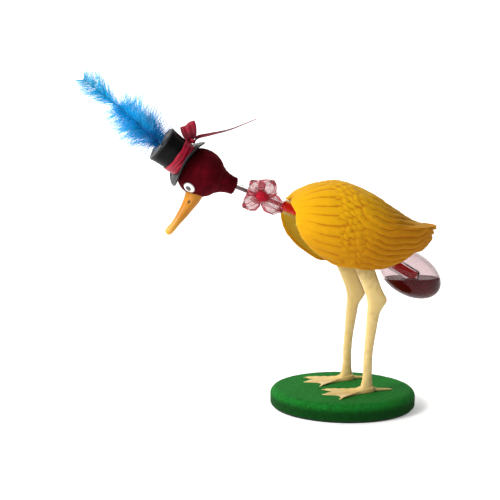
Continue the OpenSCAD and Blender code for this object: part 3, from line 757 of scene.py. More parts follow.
class BIRD_OT_stage(bpy.types.Operator):
    """Pale floor, soft studio lights and the camera"""

    bl_idname = "bird.stage"
    bl_label = "Stage"
    bl_options = {"REGISTER", "UNDO"}

    lamps = [  # name, place, aim, size in metres and power in watts
        ("Key", (-0.78, -0.24, 0.66), (-0.02, 0, 0.08), 0.35, 9.5),
        ("Backdrop", (0.0, 0.5, 1.3), (0, 2.0, 0.5), 1.5, 30.0),
        ("Fill", (-0.8, -0.7, 0.2), (-0.02, 0, 0.09), 0.4, 2.0),
    ]
    camera_place = (-0.1988, -0.5013, 0.141)
    camera_aim = (-0.0503, 0, 0.0823)
    camera_roll = math.radians(0.22)
    sensor_width = 36
    sky_strength = 0.2

    def execute(self, context):
        scene = context.scene
        mesh = bpy.data.meshes.new("Floor")
        half, bend, r, top = 4.0, 1.2, 0.8, 3.0
        quarter = np.linspace(0, math.pi / 2, 24)
        sweep = [(-half, 0.0)] + [(bend + r * math.sin(a), r - r * math.cos(a)) for a in quarter]
        rows = [[(x, y, z) for x in (-half, half)] for y, z in sweep + [(bend + r, top)]]
        points, faces = loft(rows, caps=False, closed=False)
        mesh.from_pydata([tuple(p) for p in points], [], faces)
        mesh.polygons.foreach_set("use_smooth", [True] * len(faces))
        floor = bpy.data.objects.new("Floor", mesh)
        scene.collection.objects.link(floor)
        paper = Finish("Pale floor", Roughness=0.9, Specular_IOR_Level=0.1, Emission_Strength=0.3)
        paper.shader.inputs["Emission Color"].default_value = (1.0, 1.0, 1.0, 1.0)
        white = paper.mix(paper.noise(40.0, 2.0), (0.9, 0.9, 0.9, 1), (0.92, 0.92, 0.915, 1))
        mesh.materials.append(paper.done(Base_Color=white))
        scene.view_settings.view_transform = "Standard"
        world = bpy.data.worlds.new("Studio")
        world.use_nodes = True
        sky = world.node_tree.nodes["Background"]
        sky.inputs["Color"].default_value = (1.0, 1.0, 1.0, 1)
        sky.inputs["Strength"].default_value = self.sky_strength
        scene.world = world
        for name, place, aim, size, power in self.lamps:
            lamp = bpy.data.lights.new(name, "AREA")
            lamp.size, lamp.energy = size, power
            lamp_piece = bpy.data.objects.new(name, lamp)
            lamp_piece.location = place
            lamp_piece.rotation_euler = (Vector(aim) - Vector(place)).to_track_quat("-Z", "Y").to_euler()
            scene.collection.objects.link(lamp_piece)
        camera = bpy.data.cameras.new("Camera")
        camera.lens = scene.bird_sizes.camera_lens
        camera.sensor_width = self.sensor_width
        camera.dof.use_dof = False
        camera.clip_start = 0.01
        eye = bpy.data.objects.new("Camera", camera)
        place, target = Vector(self.camera_place), Vector(self.camera_aim)
        roll = Matrix.Rotation(self.camera_roll, 3, "Z").to_quaternion()
        eye.location = place
        eye.rotation_mode = "QUATERNION"
        eye.rotation_quaternion = (target - place).to_track_quat("-Z", "Y") @ roll
        scene.collection.objects.link(eye)
        scene.camera = eye
        return {"FINISHED"}


class BIRD_OT_base(bpy.types.Operator):
    """Flocked round base and its felt pad"""

    bl_idname = "bird.base"
    bl_label = "Base"
    bl_options = {"REGISTER", "UNDO"}

    def execute(self, context):
        low, high = PAD_TOP, BASE_TOP
        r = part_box("base")[1].y * 1000
        shoulder, foot, middle = 3.6, 1.0, 0.4
        bend = np.linspace(0, math.pi / 2, 6)
        side = [(r - foot + foot * math.sin(a), low + foot - foot * math.cos(a)) for a in bend]
        side += [(r, z) for z in np.linspace(low + foot, high - shoulder, 9)[1:]]
        inset, start = r - shoulder, high - shoulder
        bend = np.linspace(0, math.pi / 2, 14)[1:]
        side += [(inset + shoulder * math.cos(a), start + shoulder * math.sin(a)) for a in bend]
        flat = [(x, high) for x in np.linspace(inset, middle, 60)[1:]]
        rings = lathe([(middle, low), *side, *flat], 300)
        points = rings.reshape(-1, 3)
        rise = np.where(points[:, 2] > start, 3.0 * (points[:, 2] - high + shoulder), 0)
        out = np.stack([points[:, 0], points[:, 1], rise], -1)
        out /= np.linalg.norm(out, axis=1)[:, None] + 1e-9
        lump = 0.12 * (grain(points, 1.1) - 0.6) + 0.1 * (grain(points, 5.0, 3.0) - 0.6)
        points = points + out * lump[:, None] * (points[:, 2:] > low + 0.2)
        _, faces = loft(rings)
        shape = Shape().add(points, faces)
        shape.build("Base.flock", upright(), [base_flock()], "stand", ["base"], "base_flock")
        refinish("base_pad", pad_felt())
        return {"FINISHED"}


class BIRD_OT_legs(bpy.types.Operator):
    """Two moulded legs with webbed feet"""

    bl_idname = "bird.legs"
    bl_label = "Legs"
    bl_options = {"REGISTER", "UNDO"}

    ankle = 8.2
    foot_len = 24.5
    spread = 10.5
    skin_pitch = 2.1  # of the rings moulded in the shank's skin

    def edges(self):
        """Front and rear edges of the leg in side view, each from the foot up."""
        a, h, b, p, z = self.ankle, HOCK_Z, BASE_TOP, AXLE.x, AXLE.z
        front = [(a - 4.4, b + 0.8), (a - 2.6, b + 8), (a - 2.2, b + 19), (7.2, h - 8)]
        front += [(7.3, h + 1), (4.1, h + 10), (-0.3, h + 20), (p - 3.6, z - 3)]
        rear = [(a + 4, b + 0.8), (a + 2.3, b + 6), (a + 2.3, b + 19), (12.8, h - 12), (14.4, h - 5)]
        rear += [(17.9, h + 0.6), (15.6, h + 5.5), (12.9, h + 12), (p + 7.5, z - 11), (p + 3.9, z - 2)]
        return curve(front, 12), curve(rear, 12)

    def shank(self, shape, y):
        """The leg above the foot, from rounded sections."""
        front, rear = self.edges()
        instep = np.linspace(BASE_TOP + 0.5, BASE_TOP + 8, 14)
        levels = np.concatenate([instep, np.linspace(BASE_TOP + 8.6, AXLE.z - 3, 110)])
        a = np.linspace(0, 2 * math.pi, 40, endpoint=False)
        power = 2 / 2.35
        cx = np.sign(np.cos(a)) * np.abs(np.cos(a)) ** power
        cy = np.sign(np.sin(a)) * np.abs(np.sin(a)) ** power
        rings, painted_shades = [], []
        for z in levels:
            x0, x1 = np.interp(z, front[:, 1], front[:, 0]), np.interp(z, rear[:, 1], rear[:, 0])
            mid, half = (x0 + x1) / 2, (x1 - x0) / 2
            thick = mm("leg_t") / 2 * (1 - 0.1 * float(ramp(HOCK_Z - 4, HOCK_Z - 20, z)))
            shank = float(ramp(HOCK_Z + 3, HOCK_Z - 6, z) * ramp(BASE_TOP + 1, BASE_TOP + 6, z))
            scute = 0.5 + 0.5 * math.sin(2 * math.pi * (z + 0.35 * math.sin(z * 1.7)) / self.skin_pitch)
            ridge = -0.1 * shank * (1 - scute) ** 2 * (0.45 + 0.55 * np.clip(-cx, 0, 1))
            ring = np.stack([mid + (half + ridge) * cx, y + (thick + ridge) * cy, np.full_like(a, z)], -1)
            rings.append(ring)
            thigh = float(ramp(HOCK_Z + 2, HOCK_Z + 18, z))
            # Painted shade: darker in the scute grooves, on the rear side and up under the body
            painted_shades.append(0.85 + ridge * 2.5 - 0.25 * shank * np.clip(cx, 0, 1) - 0.45 * thigh)
        rings = np.array(rings)
        bumps = 0.14 * grain(rings.reshape(-1, 3), 2.6, y).reshape(rings.shape[:2])
        out = rings - rings.mean(1, keepdims=True)
        rings += bumps[..., None] * out / (np.linalg.norm(out, axis=-1, keepdims=True) + 1e-9)
        shape.add(*loft(rings), relief=np.array(painted_shades).ravel() + bumps.ravel() * 2)

    def boss(self, shape, y):
        """Round boss at the top, with the axle's hole."""
        inner, outer, half, edge = AXLE_R + 0.05, 4.2, mm("leg_t") / 2, 0.5
        profile = [(inner, -half), (outer - edge, -half), (outer, -half + edge), (outer, half - edge)]
        profile += [(outer - edge, half), (inner, half), (inner, -half)]
        rings = lathe(profile, 56)
        points, faces = loft(rings, caps=False)
        points = np.stack([points[:, 0] + AXLE.x, points[:, 2] + y, points[:, 1] + AXLE.z], -1)
        shape.add(points, faces, relief=1.0)

    def foot(self, shape, y):
        """Web and toes, higher along each toe and thin between them."""
        f, t = self.foot_len, self.spread
        toes = np.array([(-f + 3.5, t - 1), (-f, 0), (-f + 5, -t)])
        plan = [(3.2, 1.5), (0, 3.0), (-6, 3.9), (-f + 8, t - 2.6)]
        plan += [toes[0] + (0.5, 0.7), toes[0], toes[0] + (1.2, -0.9), (-f + 6.5, 3.6)]
        plan += [toes[1] + (0.9, 0.8), toes[1], toes[1] + (0.9, -0.8), (-f + 7, -4)]
        plan += [toes[2] + (1.4, 0.8), toes[2], toes[2] + (0.6, -0.7), (-f + 9, -t + 2.6)]
        plan += [(-6, -4.1), (0, -3.0), (3.2, -1.5)]
        outline = curve(plan, 7, closed=True)
        n, rows = len(outline), 16
        root = np.array((0.2, 0.0))
        points, painted_shades = [], []
        for k in range(rows + 1):
            share = (k / rows) ** 0.85
            flat = root + (outline - root) * share
            ridge = np.zeros(n)
            for toe in toes:
                axis = (toe - root) / np.linalg.norm(toe - root)
                along = (flat - root) @ axis
                off = np.abs((flat - root) @ np.array((-axis[1], axis[0])))
                reach = np.linalg.norm(toe - root)
                knuckle = 1 + 0.18 * np.cos(along * 1.5)
                height = 1.25 - 0.75 * np.clip(along / reach, 0, 1)
                ridge = np.maximum(ridge, np.exp(-((off / 1.05) ** 2)) * height * knuckle)
            rise = 2.2 * np.exp(-np.linalg.norm(flat - root, axis=1) ** 2 / 22.0)
            height = 0.42 + 0.95 * ridge + rise
            height = height * (1 - 0.75 * float(ramp(0.86, 1.0, share)))
            points.append(np.stack([flat[:, 0] + self.ankle, flat[:, 1] + y, BASE_TOP + GAP + height], -1))
            # Painted shade: the web between the toes is darker than the toes
            painted_shades.append(0.45 + 0.5 * ridge)
        rings = points + [points[-1] * (1, 1, 0) + (0, 0, BASE_TOP + GAP)]
        shape.add(*loft(np.array(rings)), relief=np.array(painted_shades + [painted_shades[-1]]).ravel())
        back = curve([(1.5, 1.6), (4.5, 1.0), (8, 0.75), (11.5, 0.62), (14.0, 0.35)], 6)
        path = np.stack([back[:, 0] + self.ankle, np.full(len(back), y), BASE_TOP + back[:, 1]], -1)
        hind = tube(path, np.interp(back[:, 0], [1.5, 6, 12, 14], [1.3, 0.8, 0.5, 0.12]), 14)
        hind[..., 2] = np.maximum(hind[..., 2], BASE_TOP + GAP)
        shape.add(*loft(hind), relief=0.9)

    def execute(self, context):
        plastic = leg_plastic()
        for name, side in (("left", -1), ("right", 1)):
            shape = Shape()
            for part in (self.shank, self.boss, self.foot):
                part(shape, side * leg_y())
            shape.build("Leg." + name, upright(), [plastic], "stand", ["leg_" + name], "leg_plastic")
        return {"FINISHED"}


class BIRD_OT_pivot(bpy.types.Operator):
    """Steel axle, folded clip, stop rod and leg screws, the rubber sleeves and the shells' dowels"""

    bl_idname = "bird.pivot"
    bl_label = "Pivot"
    bl_options = {"REGISTER", "UNDO"}

    def execute(self, context):
        steel = brushed_steel()
        for node in ("pivot_axle", "pivot_clip", "stop_rod", "leg_screws"):
            refinish(node, steel)
        refinish("tube_grommets", black_rubber())
        refinish("body_dowels", peg_plastic())
        return {"FINISHED"}


class BIRD_OT_glass(bpy.types.Operator):
    """Bent neck tube, both blown bulbs and the dyed liquid"""

    bl_idname = "bird.glass"
    bl_label = "Glass"
    bl_options = {"REGISTER", "UNDO"}

    def neck(self, up, down):
        """Middle line of the tube from the head to the bulb, in the neck's directions."""
        bend, r = math.radians(deg("bend")), mm("bend_r")
        t = r * math.tan(bend / 2)
        line = [(-up, 0, 0)] + [(-up + (up - t) * k / 8, 0, 0) for k in range(1, 8)]
        line += [(r * math.sin(a) - t, 0, r * math.cos(a) - r) for a in np.linspace(0, bend, 12)]
        far = down + mm("bend_ahead")
        line += [(s * math.cos(bend), 0, -s * math.sin(bend)) for s in np.linspace(t, far, 10)[1:]]
        return np.array(line)

    def egg(self, wall, steps=40):
        """Half outline of the lower bulb, shrunk by a wall."""
        a, b = mm("bulb_len") / 2 - wall, mm("bulb_d") / 2 - wall
        t = np.linspace(0.002, math.pi - 0.002, steps)
        return np.stack([b * np.sin(t), a * np.cos(t)], -1)

    def execute(self, context):
        glass = clear_glass("Blown glass", (0.94, 0.925, 0.925, 1))
        wetted = clear_glass("Wetted glass", (0.7, 0.61, 0.615, 1))
        wine = dyed_liquid("Wine liquid", tint("wine"), 0.1, 0.06)
        red = dyed_liquid("Red column", (0.62, 0.012, 0.008, 1), 0.06, 0.25)
        film = Finish("Damp film", Roughness=0.15, Alpha=0.8)
        patch = film.noise(2.0, 3.0).between(0.35, 0.7)
        film = film.done(Base_Color=film.mix(patch, (0.1, 0.015, 0.012, 1), (0.2, 0.05, 0.04, 1)))
        head_r, wall, into_head, into_bulb = 10.3, mm("glass_t"), 2.5, 3.9
        up, down = mm("head_dist") - head_r + wall + into_head, mm("bulb_dist") + into_bulb
        line = self.neck(up, down)
        outer, bore = mm("tube_d") / 2, mm("tube_bore") / 2
        wall_out = tube(line, outer, 48)
        rings = np.concatenate([wall_out, tube(line, bore, 48)[::-1], wall_out[:1]])
        shape = Shape().add(*loft(rings, caps=False))
        shape.build("Neck.tube", at_up(), [glass], replaces=["neck_tube"], slot="glass")

        column = self.neck(mm("column_up"), down - 1)
        shape = Shape().add(*loft(tube(column, bore + 0.05, 40)), slot=0)
        dry = np.array([(-x, 0, 0) for x in np.linspace(up - 0.5, mm("column_up") + 0.4, 12)])
        shape.add(*loft(tube(dry, bore - 0.7, 32)), slot=1)
        shape.build("Liquid.column", at_up(), [red, film], replaces=["liquid_column"], slot="liquid")

        bulb = at_low() @ Matrix.Translation((mm("bulb_dist"), 0, 0)) @ turn(90)
        skin, lining = self.egg(0), self.egg(wall)
        mouth = -mm("bulb_len") / 2 + 0.9
        fit = outer + GAP
        rim = [(fit + 0.2, mouth - 0.15), (fit, mouth), (fit + 0.2, mouth + 0.15)]
        wall_line = np.concatenate([skin[skin[:, 1] > mouth], rim, lining[lining[:, 1] > mouth + 0.3][::-1]])
        shape = Shape().add(*loft(lathe(wall_line, 96)))
        fuse = [(0, -0.9), (0.35, -0.8), (0.5, -0.4), (0.75, 0.3), (0.9, 0.8), (0, 0.9), (0, -0.9)]
        shape.add(*loft(lathe([(fit + x, mouth + z) for x, z in fuse], 48), caps=False))
        shape.build("Bulb.lower", bulb, [wetted], replaces=["lower_bulb"], slot="glass")

        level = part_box("liquid_pool")[1].z
        pool = Shape().add(*loft(lathe(self.egg(wall - 0.1, 56), 96)))
        piece = pool.build("Liquid.pool", bulb, [wine], replaces=["liquid_pool"], slot="liquid")
        work = bmesh.new()
        work.from_mesh(piece.data)
        everything = work.verts[:] + work.edges[:] + work.faces[:]
        surface = {"plane_co": (0, 0, level), "plane_no": (0, 0, 1)}
        cut = bmesh.ops.bisect_plane(work, geom=everything, clear_outer=True, **surface)
        rim = [e for e in cut["geom_cut"] if isinstance(e, bmesh.types.BMEdge)]
        bmesh.ops.contextual_create(work, geom=rim)
        work.to_mesh(piece.data)
        work.free()
        for face in piece.data.polygons:
            face.use_smooth = len(face.vertices) < 8

        refinish("head_bulb", glass)
        return {"FINISHED"}


class BIRD_OT_body(bpy.types.Operator):
    """Two flocked body shells with moulded feathers, and the ribs that hold them to the tube"""

    bl_idname = "bird.body"
    bl_label = "Body"
    bl_options = {"REGISTER", "UNDO"}

    # side view in shares of the length and height: tail, belly, breast and back
    outline_shares = [
        (0.518, 0.004), (0.502, -0.07), (0.472, -0.17), (0.402, -0.285), (0.29, -0.42),
        (0.112, -0.512), (-0.089, -0.498), (-0.215, -0.39), (-0.345, -0.245), (-0.435, -0.075),
        (-0.472, 0.1), (-0.462, 0.225), (-0.418, 0.31), (-0.345, 0.392), (-0.236, 0.452),
        (-0.125, 0.474), (-0.02, 0.42), (0.092, 0.325), (0.226, 0.188), (0.341, 0.07), (0.44, 0.022),
    ]
    fullness = 2.5  # power of the section: 2 is an ellipse and more is squarer
    tail_notches = ((-0.5, 1.3), (-3.1, 1.6), (-5.7, 1.3))  # height and depth
    rib_half = 8.0
    rib_drop = 6.5
    rib_thick = 1.2
    under_roof = 3.4

    def outline(self):
        """Side view of the body about its middle."""
        return curve(np.array(self.outline_shares) * (mm("body_len"), mm("body_h")), 12, closed=True)

    def gap_at(self, p):
        """Half the opening between the shells at a point of the outline."""
        belly = leg_y() + mm("leg_t") / 2 + 1.2
        b = np.degrees(np.arctan2(p[:, 1], p[:, 0])) % 360
        breast = mm("breast_gap")
        opening = breast * ramp(154, 168, b) + (belly - breast) * ramp(225, 250, b)
        return GAP + opening * (1 - ramp(332, 350, b))

    def skin(self, outline, half, gap, rows):
        """Rings of points round one shell, from the opening's edge to its side."""
        t0 = np.arcsin(gap / half)
        rings = []
        for k in range(rows):
            s = np.sin(t0 + (math.pi / 2 - t0) * k / rows)
            r = np.maximum(0, 1 - s**self.fullness) ** (1 / self.fullness)
            rings.append(np.stack([r * outline[:, 0], half * s, r * outline[:, 1]], -1))
        return np.array(rings)

    def feathers(self, p):
        """Height of the moulded feathers, from 0 to 1, at points about the body's middle."""
        x, y, z = p[..., 0], np.abs(p[..., 1]), p[..., 2]
        line = self.outline()
        top = line[(line[:, 1] > -3)]
        top = top[np.argsort(top[:, 0])]
        low = line[(line[:, 1] <= 2)]
        low = low[np.argsort(low[:, 0])]
        mid = (np.interp(x, top[:, 0], top[:, 1]) + np.interp(x, low[:, 0], low[:, 1])) / 2
        around = np.arctan2(z - mid, y * 0.9 + 2.0) / math.pi + 0.5
        flat = p.reshape(-1, 3)
        wobble = grain(flat, 11.0, 3.1).reshape(x.shape)
        fine = grain(flat, 3.5, 7.7).reshape(x.shape)

        def rib(lane, sharp=2.1):
            return 1 - np.abs(2 * (lane - np.floor(lane)) - 1) ** sharp

        def luck(lane, seed):
            return np.mod(np.sin(np.floor(lane) * 12.9898 + seed) * 43758.5453, 1.0)

        front_lane = around * 14 + 0.2 * wobble
        end = -17.5 + 3.0 * (luck(front_lane, 1.0) - 0.5) - 4.0 * (around - 0.5)
        deepen = 0.6 + 0.4 * ramp(-36, -24, x)
        front = 1 - (1 - rib(front_lane) * (0.8 + 0.1 * fine) - 0.15) * deepen
        finger = np.clip((x - (end - 3.5)) / 3.5, 0, 1)
        blunt = finger * (np.abs(2 * np.mod(front_lane, 1) - 1) * 0.9 + 0.1)
        front = front * np.sqrt(np.clip(1 - blunt**2, 0, 1))

        scale_row = (x + 16 + 3.2 * wobble + 1.3 * fine) / 3.9
        scale_lane = around * 21 + 0.5 * np.mod(np.floor(scale_row), 2) + 0.55 * wobble + 0.3 * fine
        into = np.mod(scale_row, 1)
        scales = rib(scale_lane, 1.8) * (0.3 + 0.6 * into) * np.clip((1 - into) * 3, 0, 1) ** 0.5
        scales = scales + 0.22 + 0.2 * fine

        back_lane = around * 22 + 1.5 * np.sin(x / 15.0 + 1.0) + 0.45 * wobble + 0.12 * fine
        beads = 0.22 * grain(flat * (0.55, 1, 1.6), 2.6, 9.3).reshape(x.shape)
        tip_a, tip_b = 8 + 10 * luck(back_lane, 2.0), 23 + 9 * luck(back_lane, 5.0)
        layers = 0.35 * (1 - ramp(tip_a, tip_a + 1.4, x)) + 0.3 * (1 - ramp(tip_b, tip_b + 1.4, x))
        back = rib(back_lane, 1.7) * (0.45 + 0.25 * luck(back_lane, 3.0))
        back = back + beads + layers * rib(back_lane, 3.0) + 0.06

        to_front = 1 - ramp(end - 0.4, end + 0.9, x)
        to_back = ramp(-7 + 3 * luck(back_lane, 9.0), 1 + 3 * luck(back_lane, 9.0), x)
        rest = (1 - to_front) * (1 - to_back)
        height = front * to_front + scales * rest + back * (1 - to_front) * to_back
        return height * (0.86 + 0.14 * fine)

    def shell(self, side):
        """One shell: its flocked outside, its lining, the lip between them and its two half ribs."""
        line = self.outline()
        c, rows, inner_rows = len(line), 58, 20
        half, wall = mm("body_w") / 2, mm("shell_t")
        step = np.roll(line, -1, 0) - np.roll(line, 1, 0)
        inward = np.stack([step[:, 1], -step[:, 0]], -1) / np.linalg.norm(step, axis=1)[:, None]
        gap = self.gap_at(line)
        outer = self.skin(line, half, gap, rows)
        du = np.roll(outer, -1, 1) - np.roll(outer, 1, 1)
        dv = np.gradient(outer, axis=0)
        normal = np.cross(du, dv)
        normal /= np.linalg.norm(normal, axis=-1, keepdims=True) + 1e-9
        normal *= np.sign((outer * normal).sum(-1).mean())
        relief = self.feathers(outer)
        x, z = outer[..., 0], outer[..., 2]
        open_edge = ramp(0.0, 1.6, gap)[None, :]
        rim = 1 - ramp(0, 4, np.arange(rows))[:, None] * np.ones((1, c))
        lift = mm("feather_relief") * (relief - 0.55) * (1 - 0.55 * rim)
        lift -= 0.35 * (rim**2) * open_edge
        for at, deep in self.tail_notches:
            tail = ramp(0.4, 0.49, x / mm("body_len"))
            lift -= deep * tail * np.exp(-(((z - at - 0.35 * (41.5 - x)) / 0.75) ** 2))
        lift += 0.05 * grain(outer.reshape(-1, 3), 0.9, 1.5 + side).reshape(x.shape)
        outer = outer + normal * lift[..., None]
        inner = self.skin(line + wall * inward, half - wall, gap, inner_rows)
        middle = np.array((AXLE.x + 7.5, 0, AXLE.z - 4))
        flipped = (1, side, 1)
        shape = Shape()
        skins = (
            (outer, half - 0.2, np.append(relief.ravel(), 0.7)),
            (inner, half - wall, 0.5),
        )
        for slot, (rings, reach, level) in enumerate(skins):
            points, faces = loft(rings, caps=False)
            points = np.concatenate([points, [(0, reach, 0)]])
            last, n = (len(rings) - 1) * c, len(rings) * c
            faces += [(last + i, last + (i + 1) % c, n) for i in range(c)]
            shape.add(points * flipped + middle, faces, slot, relief=level)
        hollow = (0, -0.12, 0)
        lips = [outer[0] * near + inner[0] * far + hollow for near, far in ((0.75, 0.25), (0.3, 0.7))]
        edge = np.stack([outer[0], *lips, inner[0]])
        edge[1:3, :, 1] = np.maximum(edge[1:3, :, 1], GAP)
        points, faces = loft(edge, caps=False)
        shape.add(points * flipped + middle, faces, 0, relief=0.75)
        for place, slope, x0 in self.ribs():
            foot = (upright().inverted() @ place) @ Vector((x0, 0, 0))
            start = np.array((foot.x - middle[0], foot.z - middle[2]))
            u = np.array((math.sin(math.radians(slope)), math.cos(math.radians(slope))))
            across = np.array((u[1], -u[0]))
            rel = line - start
            off = rel @ across
            high = max(r @ u for r, d in zip(rel, off) if abs(d) < 1.5 and r @ u > 0) - self.under_roof
            sleeve = mm("tube_d") / 2 + RUBBER + GAP
            round_tube = np.linspace(-math.pi / 2 + 0.01, math.pi / 2 - 0.01, 14)
            arc = [(sleeve * math.cos(a), sleeve * math.sin(a)) for a in round_tube]
            plan = [(GAP, -self.rib_drop), (self.rib_half, -self.rib_drop)]
            plan += [(self.rib_half, high), (GAP, high), *arc[::-1]]
            ring = [[(x0 + d, p[0] * side, p[1]) for p in plan] for d in (-self.rib_thick, self.rib_thick)]
            points, faces = loft(np.array(ring))
            world = [upright().inverted() @ place @ Vector(p) for p in points]
            shape.add(np.array([tuple(w) for w in world]), faces, 1, relief=0.5)
        return shape

    def ribs(self):
        """Place, slope and position along the tube of each rib."""
        return [(at_up(), deg("low_slope") - deg("bend"), -8.5), (at_low(), deg("low_slope"), 14.0)]

    def execute(self, context):
        flock, lining = body_flock(), lining_flock()
        for name, side in (("left", -1), ("right", 1)):
            shape = self.shell(side)
            shape.build("Body." + name, upright(), [flock, lining], "bird", ["body_" + name], "body_flock")
        return {"FINISHED"}


class BIRD_OT_head(bpy.types.Operator):
    """Felt head with its collar, the bill and the eyes"""

    bl_idname = "bird.head"
    bl_label = "Head"
    bl_options = {"REGISTER", "UNDO"}

    def felt(self):
        """Round felt head that narrows to a collar on the tube."""
        r, long, tube_r = mm("head_d") / 2, mm("collar_len"), mm("tube_d") / 2 + GAP
        felt_t, chin_r, sides = 0.8, 7.4, 96
        collar = tube_r + felt_t
        chin = math.asin(chin_r / r)
        round_part = [(r * math.sin(a), r * math.cos(a)) for a in np.linspace(0.001, math.pi - chin, 60)]
        flare = [(r * math.sin(chin), -r * math.cos(chin)), (collar + 1.7, -r + 0.4), (collar + 0.7, -r - 2)]
        flare = curve([*flare, (collar + 0.15, -long + 2), (collar + 0.1, -long + 0.3)], 8)
        hem = [(collar - 0.1, -long), (tube_r + 0.25, -long), (tube_r, -long + 0.3), (tube_r, -long + 4)]
        rings = lathe(round_part + [tuple(p) for p in flare[1:]] + hem, sides)
        flat = rings.reshape(-1, 3)
        nap = 0.13 * grain(flat, 0.8, 2.0) + 0.16 * grain(flat, 3.4, 5.0)
        out = flat / np.linalg.norm(flat, axis=1)[:, None]
        flat = flat + out * nap[:, None] * (flat[:, 2:] > -long + 0.2)
        points, faces = loft(flat.reshape(rings.shape), caps=False)
        faces.append(tuple(range(sides - 1, -1, -1)))
        return Shape().add(points, faces)

    def bill(self):
        """Bill from the felt to its blunt tip, flatter and a little wider near the tip."""
        reach = mm("bill_reach")
        stations = [  # share of the length, forward, upward, half height and half width
            (0, -8.2, -0.8, 5.0, 5.0), (0.2, -13, -0.75, 4.0, 4.3), (0.42, -18, 0.1, 3.1, 3.4),
            (0.62, -22.6, 1.15, 2.45, 2.85), (0.8, -27, 2.4, 1.95, 2.55),
            (0.93, -reach + 3.2, 3.7, 1.95, 2.45), (1, -reach + 1.7, 4.3, 1.85, 2.25),
        ]
        s = curve(stations, 12)
        a = np.linspace(0, 2 * math.pi, 44, endpoint=False)
        rings, fields = [], []
        slope = np.gradient(s[:, 2]) / np.gradient(s[:, 1])
        for (t, x, z, high, wide), m in zip(s, slope):
            n = np.array((-m, 1)) / math.hypot(m, 1)
            up = np.sin(a) * high * (1 - 0.1 * (np.abs(np.cos(a)) > 0.9))
            mouth = 0.16 * np.exp(-((np.sin(a) + 0.25) / 0.08) ** 2) * ramp(0.12, 0.3, t)
            y = np.cos(a) * (wide - mouth)
            rings.append(np.stack([x + n[0] * up, y, z + n[1] * up], -1))
        tip = rings[-1]
        middle = tip.mean(0)
        ahead = np.array((-0.93, 0, 0.37))
        tip_r = 1.75
        for w in np.linspace(0.15, 0.97, 8):
            rings.append(middle + (tip - middle) * math.sqrt(1 - w**2) + ahead * tip_r * w)
        rings = np.array(rings)
        for side in (-1, 1):
            nostril = np.array((-15.4, side * 3.55, 0.9))
            d = np.linalg.norm((rings - nostril) * (0.9, 0.5, 1.5), axis=-1)
            inward = rings.mean(1, keepdims=True) - rings
            inward /= np.linalg.norm(inward, axis=-1, keepdims=True) + 1e-9
            pit = np.exp(-((d / 0.8) ** 2))
            rings += 0.7 * pit[..., None] * inward
            fields.append(pit)
        far = ramp(-22, -33, rings[..., 0])
        # The hole field marks the nostril pits, which the bill's finish paints dark as shade
        holes = np.clip(sum(fields) * 2.6 - 0.4, 0, 1)
        return Shape().add(*loft(rings), tip=far.ravel(), hole=holes.ravel())

    def dome(self, width, height, low=0.0, rim=0.75):
        """Shallow dome on the felt, with a field that marks its edge."""
        r = width / 2
        t = np.linspace(0, 1, 14)
        quarter = math.pi / 2
        arc = [(r * math.sin(x * quarter), low + height * math.cos(x * quarter) ** 0.75) for x in t[1:]]
        sag = (mm("head_d") / 2) - math.sqrt((mm("head_d") / 2) ** 2 - r * r)
        arc = [(a, z - sag * (a / r) ** 2) for a, z in arc]
        rings = lathe([(0.02, low + height), *arc, (r * 0.98, -sag - 0.1)], 48)
        edge = ramp(rim, 1.0, np.hypot(rings[..., 0], rings[..., 1]) / r)
        return Shape().add(*loft(rings), rim=edge.ravel())

    def execute(self, context):
        self.felt().build("Head.felt", at_head(), [head_felt()], replaces=["head_cover"], slot="head_felt")
        self.bill().build("Bill", at_head(), [bill_plastic()], replaces=["beak"], slot="bill_plastic")
        white, black = eye_white(), pupil_black()
        for name, side in (("left", -1), ("right", 1)):
            place = at_eye(side)
            eye = self.dome(mm("eye_d"), 0.95, GAP, 0.9)
            eye.build("Eye." + name, place, [white], replaces=["eye_" + name], slot="eye_white")
            look = place @ Matrix.Translation((0.15, side * 0.1, 0.85))
            pupil = self.dome(mm("pupil_d"), 0.38, 0.0, 0.6)
            pupil.build("Pupil." + name, look, [black], replaces=["pupil_" + name], slot="pupil_black")
        return {"FINISHED"}


